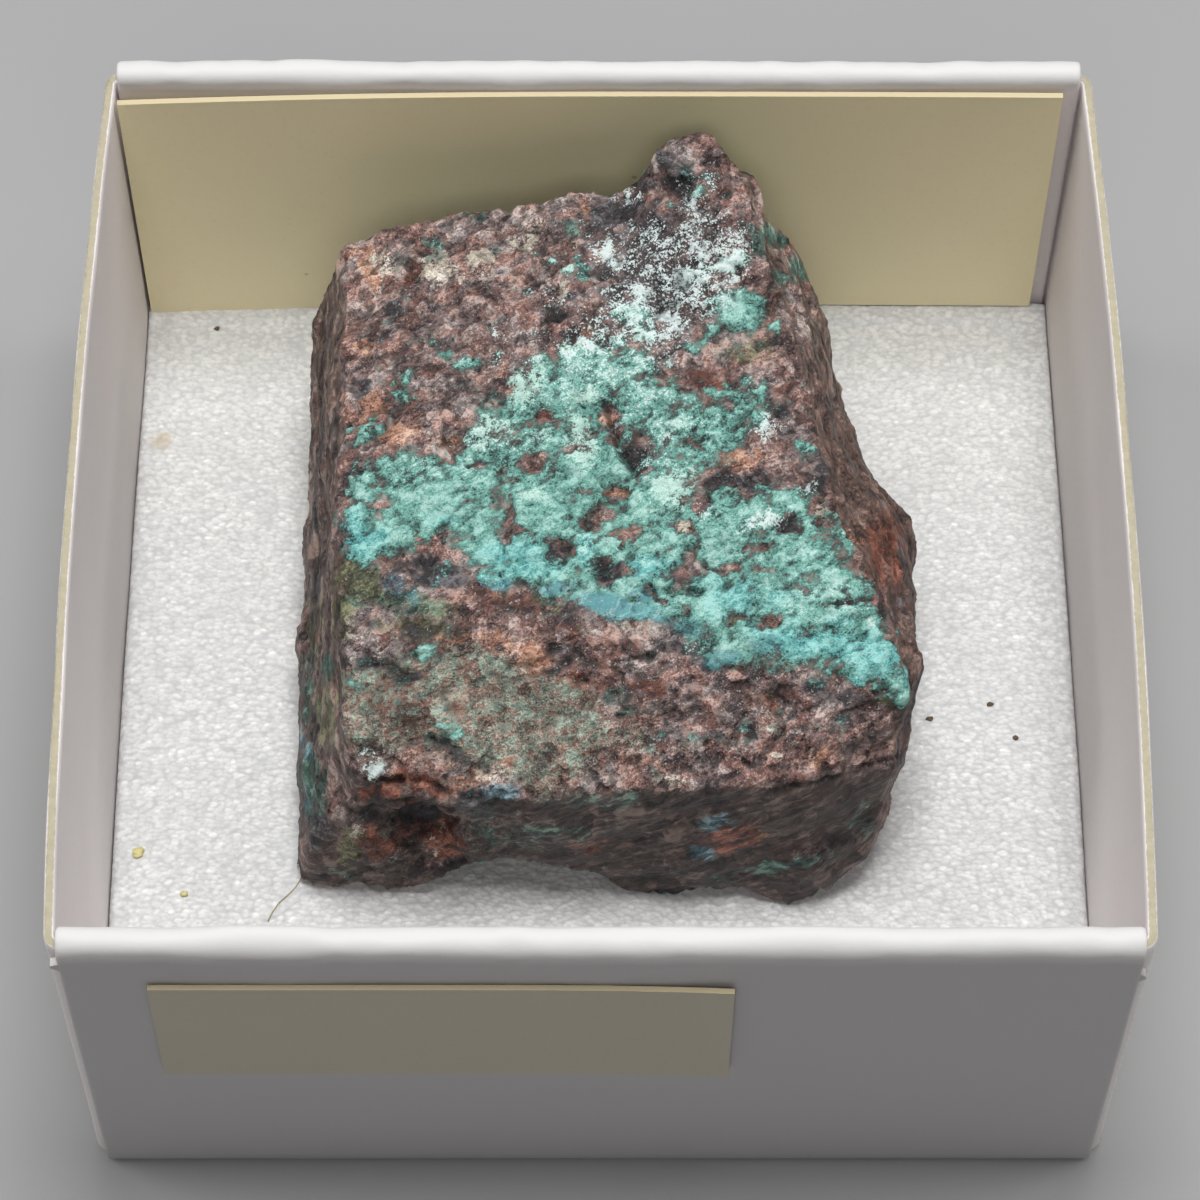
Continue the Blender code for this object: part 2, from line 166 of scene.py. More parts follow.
TURQUOISE_HOLES = [
    (533, 463, 10, 9), (480, 461, 6, 3), (508, 521, 6, 22, 1.0, -10), (374, 504, 22, 5, 1.0, -8),
    (412, 537, 13, 3, 1.0, 52), (562, 548, 13, 14), (609, 570, 16, 14), (543, 413, 12, 9, 1.0, 10),
    (596, 518, 13, 10, 1.0, 20), (612, 425, 22, 6, 1.0, -62), (635, 456, 12, 18, 1.0, -20),
    (622, 491, 12, 6), (622, 536, 28, 4, 1.0, 12), (688, 572, 16, 17), (716, 566, 15, 5, 1.0, -15),
    (752, 459, 34, 8, 1.0, 8), (735, 478, 44, 8, 1.0, 5), (705, 507, 10, 6), (788, 525, 13, 8),
    (804, 593, 12, 4, 1.1, -12), (848, 602, 26, 4, 1.0, 8), (838, 585, 16, 5, 0.8, 10),
    (765, 626, 15, 4, 0.9, 5), (734, 617, 10, 6, 0.9), (655, 596, 16, 4, 0.8, -15),
    (468, 520, 10, 3, 0.7, 20), (668, 437, 12, 3, 0.7, 45), (690, 470, 6, 4, 0.6),
    (683, 530, 9, 8, 1.2), (757, 550, 14, 4, 0.6, 5), (870, 655, 6, 3, 0.5),
]
MINT_OVALS = [
    (525, 388, 27, 17, 1.0, 30), (494, 432, 26, 17, 0.8, 10), (584, 393, 10, 12, 0.9, -20),
    (540, 438, 14, 11, 0.7), (581, 440, 15, 28, 0.9, 10), (577, 347, 24, 8, 0.9, 15),
    (683, 425, 40, 18, 0.45), (672, 488, 24, 26, 0.9, -25), (640, 312, 14, 12, 0.7), (648, 336, 12, 13),
    (729, 265, 22, 9, 1.2, 5), (563, 275, 6, 10), (700, 193, 8, 6, 0.7, 20), (677, 208, 5, 8, 0.7),
    (535, 495, 14, 10, 0.8, -20), (415, 462, 18, 9, 0.35), (460, 475, 40, 10, 0.4),
    (760, 560, 50, 12, 0.35, 10), (830, 620, 34, 14, 0.35, -10), (371, 768, 11, 14, 1.2),
    (585, 550, 8, 18, 0.6, 10), (650, 563, 12, 9, 0.5, 20), (656, 614, 11, 8, 0.7),
]
AQUA_OVALS = [
    (355, 534, 26, 26), (440, 520, 60, 22, 0.5), (515, 562, 56, 26, 0.85), (650, 568, 24, 18),
    (745, 600, 70, 30, 0.75, -10), (855, 650, 70, 28, 1.0, -20), (585, 550, 10, 22, 0.9),
    (610, 610, 44, 16), (800, 640, 60, 20, 0.9, -10),
]
TEAL_OVALS = [
    (573, 231, 10, 12), (476, 217, 14, 4, 0.9, 10), (570, 368, 26, 12, 1.0, 35),
    (634, 363, 28, 12, 0.8, -15), (652, 380, 14, 14, 0.8, -40), (490, 404, 20, 12, 0.8, 10),
    (601, 467, 8, 15, 1.0, 10), (460, 521, 18, 6, 0.9, 12), (750, 507, 32, 11), (449, 355, 12, 8, 0.9),
    (470, 362, 12, 5, 0.9, 5), (410, 384, 11, 10, 0.7, 40), (581, 272, 10, 14, 0.9, -20),
    (602, 290, 6, 16, 0.5, -30), (772, 236, 14, 25, 1.4, -62), (799, 272, 11, 25, 1.3, -66),
    (805, 452, 10, 9, 0.8, 40), (625, 708, 44, 9, 0.7, -12), (617, 694, 18, 6, 0.6, -10),
    (705, 733, 9, 7, 0.7), (440, 740, 20, 9, 0.6, -20), (330, 663, 10, 16), (314, 788, 14, 52, 1.1, 4),
    (341, 872, 24, 5, 0.7, 5), (375, 610, 30, 6, 0.7, -4), (428, 820, 44, 5, 0.4),
    (380, 828, 12, 8, 0.6), (306, 690, 11, 34), (400, 606, 46, 14, 0.8, -4), (481, 812, 20, 12, 0.9),
    (488, 836, 7, 6, 0.8), (312, 525, 6, 12, 0.6), (313, 440, 6, 12, 0.6), (540, 835, 90, 16, 0.5, 4),
    (610, 800, 90, 10, 0.6), (860, 820, 14, 24, 0.7, 40), (780, 866, 60, 8, 0.8, 10),
]
BLUE_OVALS = [
    (497, 585, 20, 7, 1.0, -8), (393, 582, 11, 13, 1.0, -10), (770, 648, 34, 10, 1.0, -8),
    (722, 660, 18, 11), (496, 796, 24, 10, 1.1, 10), (718, 825, 17, 10, 1.0, 5),
    (705, 852, 18, 9, 0.9, 5), (412, 600, 14, 6, 0.6), (520, 583, 26, 4, 0.7, 8),
    (688, 628, 32, 12, 1.0, -15), (640, 606, 22, 9, 0.7), (306, 745, 9, 16, 0.9),
    (655, 617, 30, 7, 0.9), (306, 800, 8, 34, 0.7, 5), (720, 640, 20, 10, 0.7, -10),
    (687, 690, 8, 14, 0.5, -20),
]
FROST_OVALS = [
    (613, 195, 13, 6, 0.9, 20), (636, 200, 15, 7, 1.25, 25), (630, 187, 8, 4, 0.9, 30),
    (608, 247, 13, 17, 1.0, -10), (618, 260, 15, 10), (640, 250, 22, 14, 0.6),
    (727, 212, 10, 11, 1.0, 40), (722, 232, 18, 14, 0.9, 40), (693, 227, 12, 10, 0.7),
    (703, 242, 22, 9, 0.7), (724, 249, 13, 7), (739, 254, 9, 6), (724, 266, 28, 9, 1.0, 5),
    (700, 276, 30, 9, 0.9), (720, 287, 14, 9, 0.9), (741, 281, 14, 7, 0.8), (648, 290, 15, 7, 0.8, 20),
    (648, 336, 14, 14, 0.8), (676, 323, 24, 8, 0.8, 10), (662, 346, 22, 13, 0.7),
    (572, 329, 13, 8, 0.8), (587, 345, 13, 9, 0.9), (562, 302, 16, 10, 0.6),
    (610, 305, 34, 18, 0.6, 20), (500, 335, 9, 6, 0.9), (765, 427, 24, 14, 0.7, 20),
    (760, 523, 24, 10, 0.9, 10), (705, 512, 14, 9, 0.7), (808, 488, 12, 8, 0.8),
    (371, 768, 11, 15, 1.3), (683, 172, 12, 6, 0.6), (545, 290, 14, 20, 0.5),
    (860, 612, 24, 8, 0.6, -40), (655, 445, 40, 30, 0.45), (400, 478, 50, 20, 0.35),
    (500, 440, 60, 24, 0.5), (800, 600, 60, 24, 0.35, -20), (620, 385, 40, 16, 0.4),
    (392, 336, 12, 8, 0.5), (690, 650, 20, 8, 0.35), (668, 300, 92, 130, 0.68, -10),
    (705, 235, 60, 50, 0.86), (610, 360, 110, 50, 0.55), (820, 560, 40, 60, 0.3),
]
# Places with more painted glints on single grains, and parts that carry no frost
SPARK_OVALS = [
    (640, 660, 80, 50), (800, 705, 110, 45), (680, 750, 100, 30), (500, 605, 60, 24, 0.8),
    (450, 300, 90, 60, 0.7), (430, 840, 50, 24, 0.8),
]
BARE_OVALS = [
    (745, 352, 46, 20, 1.0, -8), (700, 380, 34, 12), (760, 190, 26, 60, 0.8, -50),
    (620, 208, 26, 10, 0.7, 15), (790, 300, 22, 90, 0.8, -65), (666, 155, 30, 22),
]
PALE_OVALS = [
    (480, 253, 10, 7, 1.0, -20), (461, 280, 5, 5), (455, 269, 7, 4, 0.9), (437, 270, 15, 19, 0.7, -20),
    (474, 275, 14, 9, 0.6, 20), (526, 241, 11, 8, 0.8, 20), (561, 294, 6, 8, 0.9),
    (683, 530, 9, 8, 1.3), (656, 614, 11, 8, 0.7), (704, 634, 10, 8, 0.7), (821, 509, 10, 7, 0.8),
    (352, 637, 12, 8, 0.6, 40), (378, 652, 12, 9, 0.5, 40), (383, 265, 12, 16, 0.6, 30),
    (767, 725, 5, 7, 0.8, 20), (796, 740, 6, 5, 0.8), (782, 753, 7, 5, 0.7, 20), (762, 712, 5, 4, 0.6),
    (540, 225, 20, 8, 0.5, 10), (640, 745, 26, 6, 0.5, -15), (678, 782, 30, 5, 0.6, -10),
    (794, 671, 14, 6, 0.6, -20), (430, 832, 9, 4, 0.7), (432, 852, 7, 4, 0.7), (362, 832, 6, 4, 0.6),
    (585, 650, 30, 8, 0.4), (500, 735, 50, 14, 0.35), (490, 775, 26, 14, 0.5, 10),
]
TAN_OVALS = [
    (370, 272, 15, 26, 0.9, -10), (352, 250, 9, 8, 0.8, 40), (365, 345, 9, 7),
    (372, 408, 20, 12, 0.95, 45), (350, 400, 10, 16, 0.6), (402, 436, 22, 10, 0.95, 12),
    (449, 441, 18, 8, 0.8, 5), (584, 208, 6, 9), (607, 421, 10, 8, 1.0, -40), (622, 491, 13, 6),
    (752, 459, 30, 7, 0.9, 8), (447, 636, 24, 6, 1.2, -4), (515, 648, 42, 12, 0.9, -18),
    (540, 662, 20, 9), (476, 778, 26, 15, 0.7, 12), (430, 762, 44, 12, 0.5), (821, 760, 9, 8, 0.9),
    (800, 765, 34, 7, 0.5), (640, 760, 44, 8, 0.5, -18), (596, 518, 10, 8, 0.6), (505, 375, 9, 8, 0.7),
    (530, 350, 30, 7, 0.4, 20), (600, 300, 14, 8, 0.5), (588, 330, 8, 12, 0.6),
    (490, 345, 18, 8, 0.4, 10), (668, 412, 8, 6, 0.5), (857, 537, 8, 16, 0.6), (520, 530, 6, 8, 0.6),
    (428, 468, 8, 6, 0.7, 30), (790, 380, 20, 20, 0.4, -60),
]
RUST_OVALS = [
    (411, 271, 12, 13), (470, 320, 60, 14, 0.4, 15), (700, 305, 26, 12, 0.6), (708, 378, 30, 11, 0.9),
    (784, 384, 10, 16, 0.7, -60), (645, 688, 26, 10), (600, 680, 50, 20, 0.6),
    (384, 790, 26, 8, 1.2, 12), (425, 784, 30, 7, 1.1, -15), (376, 842, 13, 17, 1.3),
    (446, 846, 19, 13, 1.2), (420, 830, 36, 8, 1.1, -5), (886, 555, 20, 52, 0.9),
    (350, 372, 10, 30, 0.4), (500, 400, 10, 6, 0.6), (540, 414, 14, 10, 0.8), (412, 703, 14, 5, 0.7),
    (378, 705, 10, 5, 0.7), (457, 707, 9, 9, 0.7), (505, 761, 16, 6, 0.7), (409, 728, 8, 12, 0.6),
    (595, 752, 40, 8, 0.5, -10), (780, 700, 44, 20, 0.4), (815, 775, 26, 7, 0.6, 10),
    (500, 600, 50, 12, 0.7, -12), (600, 640, 60, 12, 0.6, -8), (735, 840, 40, 14, 0.8, 8),
    (600, 845, 36, 9, 0.7), (750, 420, 20, 10, 0.4),
]
SAGE_FIELD = [
    (345, 690), (352, 672), (400, 660), (430, 650), (470, 650), (505, 662), (545, 678), (578, 690),
    (600, 722), (640, 735), (600, 745), (570, 775), (540, 790), (500, 765), (455, 752), (400, 742),
    (372, 752), (352, 745),
]
OLIVE_OVALS = [
    (360, 585, 26, 28, 1.2), (385, 600, 28, 14), (346, 604, 12, 34, 1.1), (415, 628, 40, 12, 0.9),
    (430, 610, 30, 12, 0.9), (555, 608, 9, 7), (540, 598, 14, 8, 0.7), (594, 630, 10, 5, 0.7),
    (626, 630, 8, 5, 0.8), (734, 618, 12, 7, 0.9), (890, 704, 14, 5, 0.9, -30), (688, 747, 7, 6, 0.7),
    (349, 845, 13, 18), (296, 824, 5, 14), (750, 352, 44, 16, 0.7, -8), (384, 628, 12, 7, 0.9),
    (318, 622, 10, 40, 0.9), (740, 695, 16, 24, 0.35, 30), (466, 213, 7, 4, 0.8),
    (768, 690, 10, 8, 0.4), (848, 541, 6, 6, 0.7), (325, 712, 13, 44), (304, 765, 12, 30, 0.9),
    (770, 836, 24, 6, 0.4, 10),
]
# Dark patches: partly dark mineral, partly painted shade in pits, cracks and crust holes and under the ledge
# at the front left
DARK_OVALS = [
    (618, 209, 34, 14, 1.0, 16), (647, 182, 14, 6, 0.9, 35), (680, 187, 14, 11, 0.9),
    (666, 155, 7, 14, 1.0, -10), (672, 227, 15, 11, 0.9), (358, 390, 10, 9), (392, 311, 12, 6, 0.8),
    (390, 336, 15, 10, 0.8), (555, 316, 11, 7), (577, 300, 12, 9, 0.8), (666, 309, 16, 10, 0.8),
    (427, 559, 11, 8), (445, 577, 34, 11, 0.9, -14), (400, 566, 30, 6, 0.7, -20),
    (609, 570, 15, 13, 0.9), (562, 549, 12, 12, 0.5), (635, 455, 13, 18, 0.9, -20),
    (716, 566, 15, 5, 1.0, -15), (688, 574, 15, 17, 0.7), (735, 480, 42, 7, 1.0, 5), (788, 525, 13, 8),
    (705, 507, 9, 6, 0.9), (776, 413, 14, 14, 0.7), (818, 470, 12, 26, 0.8, 15),
    (804, 593, 12, 3, 1.0, -12), (848, 602, 26, 3, 1.0, 8), (411, 675, 20, 8, 1.0, 6),
    (375, 662, 22, 8, 0.6), (400, 631, 40, 6, 0.7, -3), (372, 812, 10, 11), (421, 814, 20, 9, 0.9),
    (477, 806, 17, 11, 0.9), (684, 646, 34, 10, 0.7, -12), (690, 698, 10, 34, 0.6, -15),
    (830, 690, 60, 12, 0.6, -8), (322, 830, 12, 15), (450, 752, 26, 5, 0.9, -18),
    (410, 748, 12, 6, 0.6), (480, 300, 40, 8, 0.35, 20), (660, 270, 84, 100, 0.76),
    (600, 215, 20, 10, 0.9), (645, 235, 16, 26, 0.8), (590, 250, 14, 9, 0.7), (725, 700, 12, 14, 0.5),
    (600, 280, 26, 10, 0.6), (560, 340, 20, 10, 0.5, 20), (655, 330, 30, 14, 0.4),
    (560, 660, 12, 16, 0.7, 20), (350, 460, 8, 18, 0.5), (890, 600, 14, 34, 0.6),
]
# The broken lower left of the front face, where the thin beds don't show
BROKEN_OVALS = [(422, 836, 88, 46)]
GLASS_OVALS = [
    (608, 607, 33, 14, 1.0, -6), (656, 614, 10, 9, 0.8), (560, 588, 26, 4, 0.8, 8),
    (497, 586, 12, 5, 0.5, -8), (640, 596, 14, 8, 0.7),
]
THIN_BAND = [
    (560, 440, 150, 70), (690, 430, 90, 60), (740, 520, 70, 50, 0.7), (640, 520, 60, 40, 0.6),
    (400, 500, 50, 40, 0.3),
]
BAND_COVER = 0.86
# Cracks on the stone, in photo pixels: way points, half width, depth in millimetres
CRACKS = [
    ([(378, 787), (398, 783), (415, 779), (432, 782), (448, 796)], 4.5, 0.26),
    ([(392, 803), (412, 800), (436, 806), (452, 812)], 2.5, 0.35),
    ([(735, 738), (742, 757), (750, 770), (760, 758), (772, 744), (784, 722)], 2.6, 0.35),
    ([(604, 404), (611, 428), (622, 450), (630, 478)], 5.0, 0.45),
    ([(668, 425), (658, 442)], 2.0, 0.25),
    ([(446, 523), (462, 520), (474, 512)], 2.4, 0.30),
    ([(795, 591), (814, 596)], 2.2, 0.30),
    ([(822, 604), (848, 603), (872, 598)], 2.0, 0.30),
    ([(405, 547), (413, 537), (421, 527)], 2.4, 0.25),
    ([(404, 672), (380, 664), (362, 668)], 2.6, 0.30),
    ([(430, 740), (447, 742), (458, 752)], 3.0, 0.15),
    ([(770, 792), (820, 782), (860, 770), (896, 756)], 3.0, 0.20),
]
# Rounded pits on the stone, as ovals in photo pixels with the depth in millimetres for the strength
PITS = [
    (359, 389, 9, 8, 0.35), (427, 559, 9, 7, 0.45), (412, 271, 9, 8, 0.25), (555, 316, 9, 6, 0.30),
    (596, 519, 11, 8, 0.35, 20), (609, 570, 13, 12, 0.22), (562, 548, 12, 12, 0.18),
    (533, 463, 9, 8, 0.30), (788, 525, 12, 7, 0.30), (635, 456, 10, 14, 0.35, -20),
    (714, 566, 13, 5, 0.30, -15), (735, 480, 40, 6, 0.25, 5), (680, 187, 12, 9, 0.30),
    (508, 521, 5, 18, 0.22, -10), (543, 412, 10, 8, 0.20), (372, 812, 11, 9, 0.30),
    (424, 816, 34, 12, 0.30, -8), (688, 572, 13, 14, 0.2), (392, 310, 11, 6, 0.2),
    (666, 309, 14, 8, 0.2), (411, 675, 17, 7, 0.2, 6),
]

# Colours on screen of each zone of the stone: in its pits, on its body and on its crests. The pit tones
# carry painted shade and the crest tones painted highlight.
ROCK_TONES = ((46, 36, 36), (116, 91, 87), (196, 172, 162))
GREY_ROCK_TONES = ((56, 50, 52), (128, 114, 112), (206, 194, 188))
RED_ROCK_TONES = ((52, 35, 33), (124, 88, 79), (196, 160, 148))
STAIN_TONES = ((30, 42, 40), (80, 88, 82), (146, 150, 140))
SAND_TONES = ((68, 50, 44), (126, 100, 88), (182, 164, 148))
DARK_TONES = ((16, 15, 19), (46, 42, 46), (112, 110, 114))
SAGE_TONES = ((76, 84, 76), (120, 136, 122), (168, 191, 176))
# The crust where it is thin, plain and thick, then its aqua parts, and the stone's single tones
CRUST_TONES = ((52, 90, 84), (104, 159, 148), (164, 204, 194))
AQUA_CRUST_TONES = ((44, 94, 96), (90, 160, 158), (152, 208, 202))
BLUE_CRUST_TONE = (68, 128, 138)
MINT_TONE = (194, 224, 213)
FROST_TONE = (214, 226, 224)
GLASS_TONES = ((62, 122, 128), (120, 176, 180))
GLASS_HAIR_TONE = (176, 204, 206)
# A painted glint: a light speck standing for a grain's reflection
PAINTED_GLINT_TONE = (206, 204, 204)
# Faces by name, picked by the way they face: how much of it shows, and its three tones. These darker tones
# are partly the faces' own colour and partly painted shade on the steep faces, the front face and the right
# flank.
FACE_TONES = (
    ("fibre", 0.75, ((36, 31, 30), (84, 71, 66), (146, 128, 118))),
    ("flank", 0.80, ((46, 33, 30), (94, 72, 64), (136, 110, 100))),
    ("front", 0.85, ((24, 21, 20), (56, 47, 44), (107, 93, 86))),
)
# Zones by name: where the mask starts and ends to show, how much of it shows, and its three tones
ZONE_TONES = (
    ("tan", 0.30, 0.72, 0.95, ((98, 60, 46), (168, 120, 96), (222, 188, 166))),
    ("rust", 0.30, 0.76, 0.90, ((50, 26, 21), (108, 60, 45), (168, 110, 88))),
    ("olive", 0.24, 0.90, 0.90, ((31, 33, 22), (70, 74, 47), (132, 138, 98))),
    ("teal", 0.28, 0.90, 0.85, ((20, 38, 36), (54, 92, 84), (118, 164, 150))),
    ("blue", 0.28, 0.90, 0.85, ((24, 40, 50), (58, 98, 112), (136, 174, 182))),
    # The dark zone is partly painted shade in pits, cracks and under ledges
    ("dark", 0.30, 0.68, 0.95, DARK_TONES),
    ("pale", 0.34, 0.62, 1.00, ((118, 108, 98), (184, 172, 156), (234, 228, 214))),
)


def srgb(red, green, blue):
    """A colour given as 0 to 255 on screen, as the linear colour that a shader takes."""
    def linear(value):
        value /= 255.0
        return value / 12.92 if value <= 0.04045 else ((value + 0.055) / 1.055) ** 2.4
    return (linear(red), linear(green), linear(blue), 1.0)


# Camera, light and floor


def camera_axes():
    """Unit vectors of the fitted camera: forward, right and up."""
    forward = Vector((math.sin(CAMERA_YAW) * math.cos(CAMERA_PITCH),
                      math.cos(CAMERA_YAW) * math.cos(CAMERA_PITCH), -math.sin(CAMERA_PITCH)))
    level = Vector((math.cos(CAMERA_YAW), -math.sin(CAMERA_YAW), 0.0))
    upright = level.cross(forward)
    right = level * math.cos(CAMERA_ROLL) + upright * math.sin(CAMERA_ROLL)
    up = upright * math.cos(CAMERA_ROLL) - level * math.sin(CAMERA_ROLL)
    return forward, right, up


def make_camera():
    forward, right, up = camera_axes()
    data = bpy.data.cameras.new("camera")
    data.sensor_width = CAMERA_SENSOR
    data.lens = CAMERA_LENS
    data.clip_start = 0.01
    camera = bpy.data.objects.new("camera", data)
    bpy.context.scene.collection.objects.link(camera)
    turn = Matrix((right, up, -forward)).transposed().to_4x4()
    camera.matrix_world = Matrix.Translation(CAMERA_PLACE * MM) @ turn
    bpy.context.scene.camera = camera


def photo_place(points):
    """Where points in millimetres fall in the photograph, in its pixels."""
    forward, right, up = (np.array(axis) for axis in camera_axes())
    away = points - np.array(CAMERA_PLACE)
    depth = away @ forward
    focal = CAMERA_LENS / CAMERA_SENSOR * PHOTO_SIDE
    half = PHOTO_SIDE / 2.0
    return half + focal * (away @ right) / depth, half - focal * (away @ up) / depth


def add_area_light(name, place, target, size, power):
    data = bpy.data.lights.new(name, "AREA")
    data.shape = "RECTANGLE"
    data.size = size[0] * MM
    data.size_y = size[1] * MM
    data.energy = power
    light = bpy.data.objects.new(name, data)
    bpy.context.scene.collection.objects.link(light)
    light.location = Vector(place) * MM
    light.rotation_euler = (Vector(target) - Vector(place)).to_track_quat("-Z", "Y").to_euler()


def make_lights():
    for light in LIGHTS:
        add_area_light(*light)
    world = bpy.data.worlds.new("studio")
    world.use_nodes = True
    shade = world.node_tree.nodes["Background"]
    shade.inputs["Color"].default_value = (1.0, 1.0, 1.0, 1.0)
    shade.inputs["Strength"].default_value = WORLD_LIGHT
    bpy.context.scene.world = world
    bpy.context.scene.view_settings.view_transform = "Standard"


# Mesh helpers


def add_item(name, mesh):
    item = bpy.data.objects.new(name, mesh)
    bpy.context.scene.collection.objects.link(item)
    return item


def dress(item, material):
    item.data.materials.clear()
    item.data.materials.append(material)


def bake(item):
    """Replace the object's mesh by its evaluated mesh."""
    bpy.context.view_layer.update()
    graph = bpy.context.evaluated_depsgraph_get()
    mesh = bpy.data.meshes.new_from_object(item.evaluated_get(graph), depsgraph=graph)
    item.modifiers.clear()
    item.data = mesh


def read_places(mesh):
    flat = np.zeros(len(mesh.vertices) * 3)
    mesh.vertices.foreach_get("co", flat)
    return flat.reshape(-1, 3)


def read_points(mesh):
    """Vertex places of a mesh as an array, in millimetres."""
    return read_places(mesh) / MM


def write_points(mesh, points):
    mesh.vertices.foreach_set("co", (points * MM).ravel())
    mesh.update()


def read_normals(mesh):
    flat = np.zeros(len(mesh.vertices) * 3, np.float32)
    mesh.vertex_normals.foreach_get("vector", flat)
    return flat.reshape(-1, 3).astype(float)


def write_mask(mesh, name, values):
    """Store one number for each vertex, for the material to read."""
    layer = mesh.attributes.new(name, "FLOAT", "POINT")
    layer.data.foreach_set("value", values.astype(np.float32))


def noise_of(points, size, place=(0.0, 0.0, 0.0)):
    """Smooth noise from -1 to 1 whose lumps are about the given size, in millimetres."""
    spots = points / np.array(size) + np.array(place)
    return np.array([noise.noise(spot) for spot in spots.tolist()])


def streaks_of(points, size, place=(0.0, 0.0, 0.0)):
    """Noise drawn out along the stone's grain, which rises to the back and the right."""
    c, s = math.cos(GRAIN_TURN), math.sin(GRAIN_TURN)
    x, y, z = points.T
    turned = np.stack([x * c + y * s, y * c - x * s, z], -1)
    return noise_of(turned, np.array(GRAIN_STRETCH) * size, place)


def cells_of(points, size):
    """Distance to the border of rounded cells of the given size, from 0 on a border."""
    spots = (points / size).tolist()
    gaps = [noise.voronoi(spot)[0] for spot in spots]
    return np.array([gap[1] - gap[0] for gap in gaps])


def facets_of(points, size, place):
    """Flat facets of about the given size, each tilted its own way, from -1 to 1."""
    spots = points / size + np.array(place)
    rise = np.zeros(len(points))
    middle = Vector((0.5, 0.5, 0.5))
    for index, spot in enumerate(spots.tolist()):
        nearest = noise.voronoi(spot)[1][0]
        tilt = noise.cell_vector(nearest * 7.3) - middle
        rise[index] = (Vector(spot) - nearest).dot(tilt)
    return 2.0 * rise


def smooth_step(low, high, values):
    share = np.clip((values - low) / (high - low), 0.0, 1.0)
    return share * share * (3.0 - 2.0 * share)


def oval_cover(u, v, edge, x, y, half_width, half_height, strength=1.0, turn=0):
    """How much of each place an oval covers: full strength inside, half of it on the outline."""
    c = math.cos(math.radians(turn))
    s = math.sin(math.radians(turn))
    across = ((u - x) * c - (v - y) * s) / half_width
    upward = ((u - x) * s + (v - y) * c) / half_height
    return strength * np.clip((1.0 + edge - np.hypot(across, upward)) / (2.0 * edge), 0.0, 1.0)


def ovals_cover(u, v, ovals, edge=0.5):
    cover = np.zeros_like(u)
    for oval in ovals:
        cover = np.maximum(cover, oval_cover(u, v, edge, *oval))
    return cover


def line_distance(u, v, points):
    nearest = np.full(len(u), 1.0e6)
    for (x0, y0), (x1, y1) in zip(points, points[1:]):
        dx, dy = x1 - x0, y1 - y0
        share = np.clip(((u - x0) * dx + (v - y0) * dy) / (dx * dx + dy * dy), 0.0, 1.0)
        nearest = np.minimum(nearest, np.hypot(u - x0 - share * dx, v - y0 - share * dy))
    return nearest


def outline_cover(u, v, corners, soft):
    """1 inside a closed outline, 0 outside, with a border of the given softness in pixels."""
    loop = corners + corners[:1]
    inside = np.zeros(len(u), bool)
    for (x0, y0), (x1, y1) in zip(loop, loop[1:]):
        if y0 == y1:
            continue
        crosses = (y0 > v) != (y1 > v)
        inside ^= crosses & (u < (x1 - x0) * (v - y0) / (y1 - y0) + x0)
    away = line_distance(u, v, loop)
    return np.clip(0.5 + np.where(inside, away, -away) / soft, 0.0, 1.0)


# Node helpers


